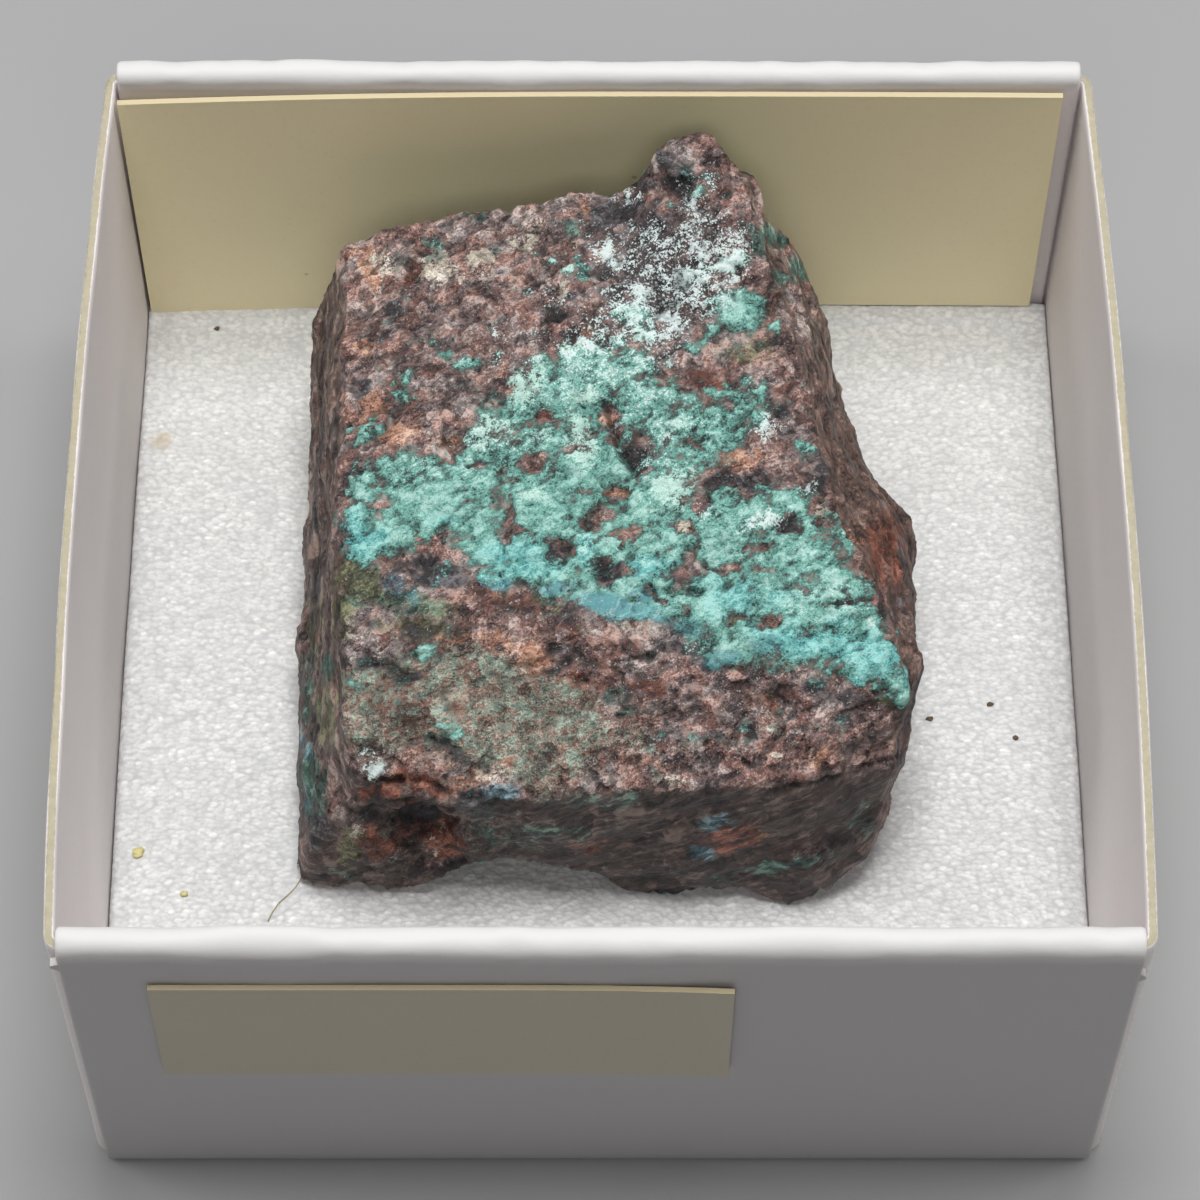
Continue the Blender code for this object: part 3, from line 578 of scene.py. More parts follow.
class Shader:
    """A Principled material under construction. Its texture places are in millimetres."""

    def __init__(self, name):
        self.material = bpy.data.materials.new(name)
        self.material.use_nodes = True
        self.tree = self.material.node_tree
        self.main = self.tree.nodes["Principled BSDF"]
        self.place = self.scaled_place((1.0, 1.0, 1.0))

    def node(self, kind, **settings):
        made = self.tree.nodes.new(kind)
        for key, value in settings.items():
            setattr(made, key, value)
        return made

    def put(self, socket, value):
        """Feed a socket from another one, with a number or with a colour given as 0 to 255 on screen."""
        if isinstance(value, bpy.types.NodeSocket):
            self.tree.links.new(value, socket)
        elif socket.type == "RGBA":
            socket.default_value = srgb(*value)
        else:
            socket.default_value = value

    def scaled_place(self, stretch, turn=(0.0, 0.0, 0.0)):
        """Object places in millimetres, turned and then stretched along X, Y and Z."""
        places = self.node("ShaderNodeTexCoord").outputs["Object"]
        mapping = self.node("ShaderNodeMapping", vector_type="TEXTURE")
        self.put(mapping.inputs["Vector"], self.vector_math("SCALE", places, 1.0 / MM))
        mapping.inputs["Rotation"].default_value = turn
        mapping.inputs["Scale"].default_value = stretch
        return mapping.outputs[0]

    def result_of(self, kind, *values, **settings):
        """A new node whose open sockets take the values in order. Gives its first open output."""
        made = self.node(kind, **settings)
        sockets = [socket for socket in made.inputs if socket.enabled]
        for socket, value in zip(sockets, values):
            self.put(socket, value)
        return next(socket for socket in made.outputs if socket.enabled)

    def noise(self, size, detail=2.0, roughness=0.5, place=None):
        return self.result_of("ShaderNodeTexNoise", place or self.place, 1.0 / size, detail, roughness)

    def cells(self, size, place=None):
        made = self.node("ShaderNodeTexVoronoi")
        self.put(made.inputs["Vector"], place or self.place)
        made.inputs["Scale"].default_value = 1.0 / size
        return made.outputs

    def split(self, color):
        made = self.node("ShaderNodeSeparateColor")
        self.put(made.inputs[0], color)
        return made.outputs

    def axes(self, vector):
        made = self.node("ShaderNodeSeparateXYZ")
        self.put(made.inputs[0], vector)
        return made.outputs

    def vector(self, *values):
        return self.result_of("ShaderNodeCombineXYZ", *values)

    def vector_math(self, operation, *values):
        return self.result_of("ShaderNodeVectorMath", *values, operation=operation)

    def math(self, operation, *values):
        return self.result_of("ShaderNodeMath", *values, operation=operation)

    def ramp(self, value, low, high, *ends):
        """The value from low to high, eased into 0 to 1 or into the two ends that are given."""
        return self.result_of("ShaderNodeMapRange", value, low, high, *ends, interpolation_type="SMOOTHSTEP")

    def mask(self, name):
        made = self.node("ShaderNodeAttribute", attribute_name=name)
        return made.outputs["Fac"]

    def mix(self, share, one, two):
        return self.result_of("ShaderNodeMix", share, one, two, data_type="RGBA")

    def mix_number(self, share, one, two):
        return self.result_of("ShaderNodeMix", share, one, two, data_type="FLOAT")

    def lay(self, tones, cover, added):
        """Several colours, each mixed with its own added colour as far as that covers it."""
        return [self.mix(cover, old, new) for old, new in zip(tones, added)]

    def ragged(self, name, uneven, low=0.34, high=0.62, most=1.0):
        """How much of a zone shows, with an edge broken up by the rock's own texture."""
        return self.ramp(self.math("MULTIPLY_ADD", uneven, 1.5, self.mask(name)), low, high, 0.0, most)

    def bump(self, height, strength, distance):
        made = self.node("ShaderNodeBump")
        self.put(made.inputs["Height"], height)
        made.inputs["Strength"].default_value = strength
        made.inputs["Distance"].default_value = distance * MM
        return made.outputs["Normal"]

    def finish(self, color, roughness, normal=None):
        self.put(self.main.inputs["Base Color"], color)
        self.put(self.main.inputs["Roughness"], roughness)
        if normal:
            self.put(self.main.inputs["Normal"], normal)
        return self.material


# Stone


def fine_stone():
    """The solid's surface on a fine even grid, with its facets smoothed away."""
    item = add_item("mineral_specimen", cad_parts["chrysocolla_stone"].data.copy())
    grid = item.modifiers.new("fine_grid", "REMESH")
    grid.mode = "VOXEL"
    grid.voxel_size = STONE_VOXEL * MM
    bake(item)
    even = item.modifiers.new("smooth", "SMOOTH")
    even.factor = 0.5
    even.iterations = STONE_SMOOTH_ROUNDS
    bake(item)
    return item


def stone_masks(points, normals):
    """The zones of the stone's surface, one array for each."""
    u, v = photo_place(points)
    forward = np.array(camera_axes()[0])
    seen = smooth_step(0.10, 0.34, -normals @ forward)
    broad = noise_of(points, 1.5, (3.1, 0.4, 7.7))
    coarse = noise_of(points, 0.8, (1.7, 8.2, 2.2))
    fine = streaks_of(points, 0.26, (5.5, 1.2, 6.1))
    finest = streaks_of(points, 0.15, (2.5, 4.2, 3.1))
    ragged = 0.25 * broad + 0.40 * coarse + 0.45 * fine + 0.25 * finest
    sway_u = noise_of(points, 0.9, (9.9, 4.0, 1.1))
    sway_v = noise_of(points, 0.9, (1.9, 7.0, 5.1))
    u_shift = u + 12.0 * sway_u + 6.0 * fine
    v_shift = v + 10.0 * sway_v + 6.0 * finest

    masks = {}
    band = outline_cover(u_shift, v_shift, TURQUOISE_BAND, 26.0)
    band *= BAND_COVER - 0.22 * ovals_cover(u, v, THIN_BAND, 0.8)
    plain = 0.7 * smooth_step(0.35, 0.75, np.abs(normals[:, 0]))
    plain = np.maximum(smooth_step(0.50, 0.80, -normals[:, 1]), plain) * (1.0 - smooth_step(0.1, 0.5, band))
    spots = 0.82 * ovals_cover(u_shift, v_shift, TURQUOISE_SPOTS)
    holes = ovals_cover(u_shift, v_shift, TURQUOISE_HOLES)
    masks["crust"] = np.maximum(band, spots) - 0.75 * holes + ragged - 0.45 * plain
    lists = {
        "mint": MINT_OVALS, "teal": TEAL_OVALS, "blue": BLUE_OVALS, "pale": PALE_OVALS, "tan": TAN_OVALS,
        "rust": RUST_OVALS, "olive": OLIVE_OVALS, "dark": DARK_OVALS, "glass": GLASS_OVALS,
    }
    for name, ovals in lists.items():
        masks[name] = 0.85 * ovals_cover(u_shift, v_shift, ovals) + 0.6 * ragged
    masks["frost"] = 0.84 * ovals_cover(u_shift, v_shift, FROST_OVALS, 0.7) + 0.6 * ragged - 0.3 * plain
    masks["sage"] = outline_cover(u_shift, v_shift, SAGE_FIELD, 40.0)
    masks["aqua"] = 0.9 * ovals_cover(u_shift, v_shift, AQUA_OVALS, 0.8) + 0.3 * coarse
    masks["spark"] = ovals_cover(u, v, SPARK_OVALS, 0.8)
    masks["frost"] -= 0.55 * ovals_cover(u, v, BARE_OVALS)

    # Faces that the photograph doesn't show carry stains placed by noise alone
    drift = noise_of(points, 4.2, (2.0, 6.0, 3.0))
    veins = noise_of(points, 1.9, (8.0, 1.0, 4.0))
    away = smooth_step(0.0, -0.4, -normals @ forward)
    unseen = {
        "crust": -0.5 + away * (0.35 + 1.6 * smooth_step(0.20, 0.6, veins)) + ragged,
        "teal": -0.1 + away * (0.35 + 1.2 * drift) + 0.5 * ragged, "dark": 0.45 - 1.0 * drift,
        "rust": 0.15 + 1.1 * broad, "olive": 0.0 + 1.0 * veins, "frost": -0.3 + 0.8 * veins + 0.5 * ragged,
    }
    for name, values in masks.items():
        other = unseen.get(name, np.full(len(u), -0.3))
        masks[name] = seen * values + (1.0 - seen) * other
    masks["seen"] = seen
    # Faces that look steeply sideways, to the front or to the right, for darker tones that are partly
    # painted shade
    masks["front"] = smooth_step(0.50, 0.80, -normals[:, 1]) * smooth_step(0.80, 0.55, normals[:, 2])
    masks["flank"] = smooth_step(0.30, 0.65, normals[:, 0]) * smooth_step(360.0, 450.0, v) * seen
    masks["sway"] = noise_of(points, 1.5, (6.0, 6.0, 2.0))
    masks["fibre"] = smooth_step(0.70, 0.40, np.abs(normals[:, 2])) * smooth_step(-0.7, -0.3, normals[:, 2])
    masks["fibre"] *= 1.0 - 0.75 * seen * ovals_cover(u, v, BROKEN_OVALS)
    return masks, u, v


def stone_relief(points, normals, masks, u, v):
    """How far the surface stands out, in millimetres: coarse part and fine part."""
    steep = smooth_step(0.25, 0.7, 1.0 - np.abs(normals[:, 2]))
    crust = smooth_step(0.35, 0.95, masks["crust"])
    frost = smooth_step(0.45, 0.9, masks["frost"])
    sage = masks["sage"] * masks["seen"]
    calm = (1.0 - 0.5 * sage) * (1.0 - 0.75 * masks["fibre"])
    coarse = 0.12 * noise_of(points, 1.3, (4.0, 2.0, 8.0)) * calm
    coarse += 0.22 * facets_of(points, 1.25, (2.0, 9.0, 4.0)) * calm
    fine = 0.16 * facets_of(points, 0.48, (7.0, 1.0, 5.0)) * calm
    fine += 0.10 * streaks_of(points, 0.30, (6.0, 3.0, 9.0)) * calm
    fine += 0.09 * noise_of(points, 0.22, (2.5, 7.5, 0.5)) * (0.4 + 0.6 * calm)
    fine += 0.09 * crust + 0.05 * frost

    # Pits and cracks
    for x, y, half_width, half_height, depth, *turn in PITS:
        cover = oval_cover(u, v, 0.6, x, y, half_width, half_height, 1.0, *turn)
        coarse -= masks["seen"] * depth * smooth_step(0.0, 1.0, cover)
    for way, half_width, depth in CRACKS:
        away = (line_distance(u, v, way) + 2.5 * noise_of(points, 0.5)) / half_width
        coarse -= masks["seen"] * depth * np.exp(-away * away)

    # Edges of the thin beds on the steep faces
    across = points @ np.array(BEDDING)
    sway = 0.35 * noise_of(points, 3.0, (7.0, 0.0, 2.0))
    beds = np.stack([across / 0.30 + 2.0 * sway, points[:, 0] * 0.16, points[:, 1] * 0.16], -1)
    thin = noise_of(beds, 1.0, (0.3, 0.6, 0.9))
    wide = noise_of(beds * np.array([0.38, 1.0, 1.0]), 1.0, (4.3, 1.6, 2.9))
    fine += steep * (0.10 * thin)
    coarse += steep * (0.11 * wide)
    return coarse, fine


def make_stone_mesh():
    item = fine_stone()
    mesh = item.data
    points = read_points(mesh)
    normals = read_normals(mesh)
    masks, u, v = stone_masks(points, normals)
    coarse, fine = stone_relief(points, normals, masks, u, v)
    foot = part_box("chrysocolla_stone")[0].z / MM
    moved = points + normals * (coarse + fine)[:, None]
    low = points[:, 2] < foot + 0.5
    moved[low, 2] = np.minimum(moved[low, 2], points[low, 2])
    resting = smooth_step(foot + 0.35, foot + 0.02, points[:, 2])
    moved[:, 2] -= STONE_SINK * resting
    write_points(mesh, moved)
    # The relief mask serves for painted shade in the hollows and painted highlight on the crests
    lift = (fine - fine.mean()) / 0.30 + (coarse - coarse.mean()) / 0.8
    masks["relief"] = np.clip(0.5 + lift, 0.0, 1.0)
    for name, values in masks.items():
        write_mask(mesh, name, values)

    fewer = item.modifiers.new("fewer_faces", "DECIMATE")
    fewer.ratio = STONE_TRIANGLES / (2.0 * len(mesh.polygons))
    fewer.use_collapse_triangulate = True
    bake(item)
    item.data.shade_smooth()
    return item


def bedded_texture(s, texture):
    """The rock's texture, drawn into the threads of the thin beds on the steep faces."""
    x, y = s.axes(s.place)[:2]
    across = s.math("MULTIPLY_ADD", s.vector_math("DOT_PRODUCT", s.place, BEDDING), 5.5, s.mask("sway"))
    beds = s.vector(s.math("MULTIPLY", x, 0.8), s.math("MULTIPLY", y, 0.8), across)
    threads = s.noise(1.0, 3.0, 0.7, beds)
    return s.mix_number(s.math("MULTIPLY", s.mask("fibre"), 0.75), texture, threads)


def rock_color(s, texture, uneven, grain, blotch, patch, bent):
    """Colour of the bare rock. Each mineral grain has a tone and a tint of its own."""
    large = s.split(s.cells(LARGE_GRAIN, bent)["Color"])
    small = s.split(s.cells(SMALL_GRAIN, bent)["Color"])
    tone = s.math("MULTIPLY_ADD", large[0], 0.16, s.math("MULTIPLY_ADD", small[0], 0.10, texture))
    tone = s.math("MULTIPLY_ADD", blotch, 0.35, s.math("MULTIPLY_ADD", patch, 0.30, tone))
    tone = s.math("SUBTRACT", tone, 0.45)

    grey = s.math("MULTIPLY_ADD", large[1], 0.25, patch)
    tones = s.lay(ROCK_TONES, s.ramp(grey, 0.52, 0.74, 0.0, 0.9), GREY_ROCK_TONES)
    red = s.math("MULTIPLY_ADD", large[2], 0.25, blotch)
    tones = s.lay(tones, s.ramp(red, 0.58, 0.76, 0.0, 0.9), RED_ROCK_TONES)
    tones = s.lay(tones, s.ramp(blotch, 0.34, 0.45, 0.5, 0.0), DARK_TONES)
    # Darker tones on the steep faces, the front face and the right flank: partly their own colour, partly
    # painted shade
    for name, most, added in FACE_TONES:
        tones = s.lay(tones, s.math("MULTIPLY", s.mask(name), most), added)
    tones = s.lay(tones, s.ramp(s.mask("crust"), 0.10, 0.60, 0.0, 0.6), STAIN_TONES)
    field = s.ragged("sage", uneven, 0.2, 0.6)
    tones = s.lay(tones, field, SAND_TONES)
    sandy = s.math("MULTIPLY_ADD", small[1], 0.30, s.math("MULTIPLY_ADD", large[1], 0.25, grain))
    tones = s.lay(tones, s.math("MULTIPLY", field, s.ramp(sandy, 0.70, 0.86, 0.0, 0.9)), SAGE_TONES)
    for name, low, high, most, added in ZONE_TONES:
        tones = s.lay(tones, s.ragged(name, uneven, low, high, most), added)
    # The same texture that raises the bump picks the pit, body and crest tones: painted shade in its dips
    # and painted highlight on its rises, on top of each grain's own tone
    color = s.mix(s.ramp(tone, 0.34, 0.50), tones[0], tones[1])
    return s.mix(s.ramp(tone, 0.50, 0.68), color, tones[2])


def crust_color(s, thick, uneven):
    """Colour of the turquoise crust: a dark stain where it is thin, pale where it is thick."""
    aqua = s.ramp(s.mask("aqua"), 0.3, 0.8)
    thin, plain, light = s.lay(CRUST_TONES, aqua, AQUA_CRUST_TONES)
    crust = s.mix(s.ramp(thick, 0.40, 0.74), thin, plain)
    crust = s.mix(s.ramp(thick, 0.70, 1.15), crust, light)
    mint = s.ramp(s.math("MULTIPLY_ADD", uneven, 2.2, s.mask("mint")), 0.40, 0.85)
    crust = s.mix(s.math("MULTIPLY", mint, 0.8), crust, MINT_TONE)
    return s.mix(s.ramp(s.mask("blue"), 0.50, 1.0, 0.0, 0.65), crust, BLUE_CRUST_TONE)


def stone_material():
    s = Shader("stone")
    along = s.scaled_place(GRAIN_STRETCH, (0.0, 0.0, GRAIN_TURN))
    streak = s.noise(0.13, 2.0, 0.6, along)
    grain = s.noise(0.08, 2.0, 0.75)
    blotch = s.noise(0.75, 3.0, 0.6, along)
    patch = s.noise(2.2, 2.0, 0.55)
    texture = s.math("MULTIPLY_ADD", grain, 0.5, s.math("MULTIPLY", streak, 0.5))
    texture = bedded_texture(s, texture)
    uneven = s.math("SUBTRACT", texture, 0.5)
    bent = s.vector_math("MULTIPLY_ADD", s.vector(streak, grain, blotch), GRAIN_BEND, s.place)

    rock = rock_color(s, texture, uneven, grain, blotch, patch, bent)
    thick = s.math("MULTIPLY_ADD", uneven, 2.3, s.mask("crust"))
    cover = s.ramp(thick, 0.24, 0.66)
    color = s.mix(cover, rock, crust_color(s, thick, uneven))

    # White frost, and the glassy vein with its pale hairs
    dots = s.cells(FROST_GRAIN, bent)
    dot = s.ramp(dots["Distance"], 0.20, 0.60, 0.22, -0.10)
    frost = s.math("MULTIPLY_ADD", uneven, 1.6, s.math("ADD", s.mask("frost"), dot))
    frost = s.ramp(frost, 0.50, 0.72)
    color = s.mix(s.math("MULTIPLY", frost, 0.92), color, FROST_TONE)
    glass = s.ragged("glass", uneven)
    hair = s.ramp(s.math("ABSOLUTE", s.math("SUBTRACT", blotch, 0.52)), 0.006, 0.04, 0.5, 0.0)
    vein = s.mix(hair, s.mix(patch, *GLASS_TONES), GLASS_HAIR_TONE)
    color = s.mix(glass, color, vein)

    # Painted shade in the hollows and painted highlight on the crests, and painted glints on single grains
    color = s.vector_math("SCALE", color, s.ramp(s.mask("relief"), 0.06, 0.60, 0.42, 1.13))
    spark = s.math("MULTIPLY_ADD", s.mask("spark"), 0.16, s.split(dots["Color"])[0])
    spark = s.math("MULTIPLY_ADD", s.mask("front"), -0.12, s.math("MULTIPLY_ADD", dot, 0.8, spark))
    glint = s.ramp(spark, 1.07, 1.20)
    color = s.mix(s.math("MULTIPLY", glint, 0.5), color, PAINTED_GLINT_TONE)

    rough = s.mix_number(cover, 0.5, 0.8)
    rough = s.mix_number(glass, rough, 0.15)
    rough = s.mix_number(glint, rough, 0.25)
    return s.finish(color, rough, s.bump(texture, 0.9, 0.16))


def make_stone():
    item = make_stone_mesh()
    dress(item, stone_material())
    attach(item, "root")
    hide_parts("chrysocolla_stone")


# Floor


def make_floor():
    bm = bmesh.new()
    bmesh.ops.create_grid(bm, x_segments=2, y_segments=2, size=1.2)
    mesh = bpy.data.meshes.new("floor")
    bm.to_mesh(mesh)
    bm.free()
    s = Shader("pale_floor")
    tone = s.mix(s.noise(60.0, 2.0), *FLOOR_TONES)
    floor = add_item("floor", mesh)
    dress(floor, s.finish(tone, 0.9))
    floor.location.z = -0.0001


# Card tray


def skin(name, rings):
    """A closed mesh through rings of points in millimetres, capped at both ends."""
    count, size = rings.shape[:2]
    faces = [tuple(reversed(range(size))), tuple(range((count - 1) * size, count * size))]
    for i in range(count - 1):
        for j in range(size):
            a = i * size + j
            b = i * size + (j + 1) % size
            faces.append((a, b, b + size, a + size))
    mesh = bpy.data.meshes.new(name)
    mesh.from_pydata((rings.reshape(-1, 3) * MM).tolist(), [], faces)
    bm = bmesh.new()
    bm.from_mesh(mesh)
    bmesh.ops.recalc_face_normals(bm, faces=bm.faces)
    bm.to_mesh(mesh)
    bm.free()
    return add_item(name, mesh)


def wave(length, place, *spot):
    """One value of smooth noise at a spot given in millimetres."""
    return noise.noise(Vector((spot + (0.0, 0.0, 0.0))[:3]) / length + Vector(place))


def folded_wall_profile(x, end_inset, place):
    """Outline of a folded wall across its length: distance in from the outer face, and height."""
    outer = RIM_ROUND * (1.15 + 0.5 * wave(5.0, place, x) + 0.25 * wave(1.3, place, x))
    inner = RIM_ROUND * (1.0 + 0.3 * wave(4.0, place, x, 9.0))
    inner = min(inner, FOLDED_WALL - outer)
    top = TRAY_HEIGHT - end_inset * 0.5 + 0.05 * (wave(3.0, place, x, 4.0) - 0.6)
    lift = 0.25
    points = [(lift, 0.0), (0.11, 0.03), (0.03, 0.11)]
    points += [(0.0, lift + (top - outer - lift) * k / WALL_LEVELS) for k in range(WALL_LEVELS + 1)]
    for k in range(1, 9):
        angle = math.pi / 2.0 * k / 9.0
        points.append((outer * (1.0 - math.cos(angle)), top - outer * (1.0 - math.sin(angle))))
    for k in range(9):
        angle = math.pi / 2.0 * k / 9.0
        away = inner * (1.0 - math.sin(angle))
        points.append((FOLDED_WALL - away, top - inner * (1.0 - math.cos(angle))))
    points += [(FOLDED_WALL, (top - inner) * (1.0 - k / WALL_LEVELS)) for k in range(WALL_LEVELS + 1)]
    middle = FOLDED_WALL / 2.0
    shaped = []
    for t, z in points:
        warp = 0.05 * wave(7.0, place, x, z, 3.0) + 0.025 * wave(1.8, place, x, z, 7.0)
        warp *= min(1.0, z / 4.0)
        face_in = max(0.0, 1.0 - t / middle)
        inner_in = max(0.0, t / middle - 1.0)
        t += face_in * warp - inner_in * abs(warp)
        t += end_inset * (1.0 - t / middle) * 0.6
        shaped.append((t, z))
    return shaped


def make_folded_wall(side, place):
    half = FOLDED_WALL_HALF_LENGTH
    steps = int(2.0 * half / TRAY_STEP)
    stations = [(-half, 0.14), (-half + 0.03, 0.07), (-half + 0.08, 0.025), (-half + 0.15, 0.0)]
    stations += [(-half + TRAY_STEP * k, 0.0) for k in range(1, steps)]
    stations += [(half - 0.15, 0.0), (half - 0.08, 0.025), (half - 0.03, 0.07), (half, 0.14)]
    rings = []
    for x, end_inset in stations:
        profile = folded_wall_profile(x, end_inset, place)
        rings.append([(x, side * (TRAY_HALF - t), z) for t, z in profile])
    return skin(f"folded_wall_{'front' if side < 0 else 'back'}", np.array(rings))


def side_wall_path():
    """Centre line of the right wall from above, with the start of the flap at each end."""
    wall_x = TRAY_HALF - CARD / 2.0
    flap_y = TRAY_HALF - FOLDED_WALL / 2.0
    radius = CORNER_FOLD_RADIUS
    corner = []
    for k in range(11):
        angle = math.pi / 2.0 * k / 10.0
        away = radius * (1.0 - math.cos(angle))
        corner.append((wall_x - away, flap_y - radius * (1.0 - math.sin(angle))))
    straight = flap_y - radius
    steps = int(2.0 * straight / TRAY_STEP)
    path = [(wall_x - back, -flap_y) for back in FLAP_STATIONS]
    path += [(x, -y) for x, y in reversed(corner)]
    path += [(wall_x, straight * (2.0 * k / steps - 1.0)) for k in range(1, steps)]
    path += corner + [(wall_x - back, flap_y) for back in reversed(FLAP_STATIONS)]
    return path


def bulge_at(y, z):
    return SIDE_WALL_BULGE * max(0.0, 1.0 - (y / TRAY_HALF) ** 2) * math.sqrt(max(0.0, z) / SIDE_WALL_TOP)


def make_side_wall(side, place):
    path = side_wall_path()
    rings = []
    for index, (x, y) in enumerate(path):
        before = Vector(path[max(0, index - 1)])
        after = Vector(path[min(len(path) - 1, index + 1)])
        along = (after - before).normalized()
        out = Vector((along.y, -along.x))
        top = SIDE_WALL_TOP + 0.05 * wave(4.0, place, y) - 0.05
        half = CARD / 2.0
        profile = [(half, top * k / WALL_LEVELS) for k in range(WALL_LEVELS)]
        fray = [wave(0.35, place, x, y, 3.0 * k) for k in range(7)]
        profile += [(half, top - 0.05 + 0.03 * fray[0]), (half - 0.04, top + 0.03 * fray[0])]
        for k, share in enumerate((0.6, 0.25, -0.1, -0.45, -0.7)):
            profile.append((half * share, top - 0.025 + 0.05 * fray[k + 1]))
        profile += [(0.04 - half, top + 0.03 * fray[6]), (-half, top - 0.05 + 0.03 * fray[6])]
        profile += [(-half, top * k / WALL_LEVELS) for k in reversed(range(WALL_LEVELS))]
        ring = []
        for t, z in profile:
            flat = Vector((x, y)) + out * t
            warp = 0.05 * wave(6.0, place, y, z, 5.0) * min(1.0, z / 4.0, (TRAY_HALF - abs(y)) / 2.0)
            flat.x += bulge_at(y, z) + warp - 0.03 * min(1.0, z / 4.0)
            ring.append((side * flat.x, flat.y, z))
        rings.append(ring)
    return skin(f"side_wall_{'left' if side < 0 else 'right'}", np.array(rings))


def make_dog_ear(name, corners):
    """A small pointed scrap of card, its outline given in XZ with the Y of its outer face."""
    rings = [[(x, y + depth, z) for x, y, z in corners] for depth in (0.0, DOG_EAR_THICKNESS)]
    return skin(name, np.array(rings))


def join_solids(target, tools):
    for tool in tools:
        step = target.modifiers.new(tool.name, "BOOLEAN")
        step.operation = "UNION"
        step.solver = "MANIFOLD"
        step.object = tool
    bake(target)
    for tool in tools:
        bpy.data.objects.remove(tool)


def tray_solid():
    """The floor, the four walls and two dog ears, joined into one solid."""
    reach = TRAY_HALF - CARD / 2.0
    depth = TRAY_HALF - FOLDED_WALL / 2.0
    base = [[(x, y, z) for x, z in ((-reach, 0.0), (reach, 0.0), (reach, CARD), (-reach, CARD))]
            for y in (-depth, depth)]
    tray = skin("specimen_tray", np.array(base))
    tools = [make_folded_wall(-1, (3.0, 1.0, 4.0)), make_folded_wall(1, (6.0, 2.0, 8.0))]
    tools += [make_side_wall(-1, (1.0, 5.0, 9.0)), make_side_wall(1, (2.0, 7.0, 3.0))]
    front = -TRAY_HALF + 0.06
    tools.append(make_dog_ear("ear_left", [
        (-19.7, front, 18.75), (-20.28, front, 18.55), (-20.32, front, 18.4), (-19.7, front, 17.9)]))
    tools.append(make_dog_ear("ear_right", [
        (19.7, front, 18.1), (20.2, front, 17.62), (20.24, front, 17.45), (19.7, front, 16.9)]))
    join_solids(tray, tools)
    return tray


def mark_tray(mesh):
    """Mark the walls' outer faces, which get painted shade, and the distance to the side walls' raw top
    edges.
    """
    points = read_points(mesh)
    mirrored = points * np.array([1.0, 1.0, 0.0])
    lean = np.array([bulge_at(y, SIDE_WALL_TOP) for y in points[:, 1]])
    mirrored[:, 0] = np.abs(points[:, 0]) - lean
    clear = [spot for spot in side_wall_path() if spot[0] > FOLDED_WALL_HALF_LENGTH - 0.15]
    edge = line_distance(mirrored[:, 0], mirrored[:, 1], clear)
    outside_shade = smooth_step(0.35, 0.1, TRAY_HALF - np.abs(points[:, 1]))
    write_mask(mesh, "outside_shade", outside_shade * smooth_step(TRAY_HEIGHT - 0.5, TRAY_HEIGHT - 1.0, points[:, 2]))
    high = (points[:, 2] > SIDE_WALL_TOP - 0.3) & (points[:, 2] < SIDE_WALL_TOP + 0.25)
    write_mask(mesh, "edge", np.where(high, edge, 1.0))


def card_material():
    s = Shader("white_card")
    fibre = s.noise(0.3, 2.0, 0.6)
    paper = s.mix(s.noise(5.0, 3.0), *PAPER_TONES)
    paper = s.mix(s.ramp(fibre, 0.5, 0.75, 0.0, 0.25), paper, PAPER_FIBRE_TONE)
    # Painted shade on the walls' outer faces
    paper = s.mix(s.mask("outside_shade"), paper, PAPER_OUTSIDE_SHADE_TONE)
    # Painted shade on the rims
    paper = s.mix(s.ramp(s.axes(s.place)[2], TRAY_HEIGHT - 0.8, TRAY_HEIGHT - 0.3), paper, PAPER_RIM_SHADE_TONE)
    raw_line = s.math("MULTIPLY_ADD", s.noise(0.25, 2.0, 0.6), 0.09, s.mask("edge"))
    raw = s.ramp(raw_line, 0.17, 0.20, 1.0, 0.0)
    pulp = s.mix(s.noise(0.4, 3.0, 0.7), *PULP_TONES)
    color = s.mix(raw, paper, pulp)
    return s.finish(color, s.mix_number(raw, 0.62, 0.9), s.bump(fibre, 0.25, 0.04))


def make_tray():
    tray = tray_solid()
    mark_tray(tray.data)
    dress(tray, card_material())
    tray.data.shade_smooth()
    tray.data.set_sharp_from_angle(angle=math.radians(50.0))
    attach(tray, "root")
    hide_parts("card_tray")


# Foam pad


def add_crumbs(mesh):
    """Add the crumbs and the hair to the pad's mesh.

    Gives each vertex 0 on the foam, 1 on a yellow crumb, 2 on a brown one and 1.5 on the hair.
    """
    bm = bmesh.new()
    bm.from_mesh(mesh)
    bmesh.ops.triangulate(bm, faces=bm.faces, quad_method="SHORT_EDGE")
    kinds = [0.0] * len(bm.verts)
    for x, y, half, kind in CRUMBS:
        grown = bmesh.ops.create_icosphere(bm, subdivisions=3, radius=1.0)["verts"]
        for vert in grown:
            rough = 1.0 + 0.5 * noise.noise(vert.co * 1.3 + Vector((x, y, 0.0)))
            lump = vert.co * rough
            vert.co = Vector((x + lump.x * half[0], y + lump.y * half[1], FOAM_TOP + lump.z * half[2])) * MM
        kinds += [float(kind)] * len(grown)
    rings = []
    for x, y in HAIR:
        ring = []
        for k in range(8):
            angle = 2.0 * math.pi * k / 8.0
            offset = HAIR_RADIUS * math.cos(angle)
            height = FOAM_TOP + 0.02 + HAIR_RADIUS * math.sin(angle)
            ring.append((x + 0.8 * offset, y - 0.6 * offset, height))
        rings.append(ring)
    hair = skin("hair", np.array(rings))
    bm.from_mesh(hair.data)
    kinds += [1.5] * len(hair.data.vertices)
    bpy.data.objects.remove(hair)
    bm.to_mesh(mesh)
    bm.free()
    return np.array(kinds)


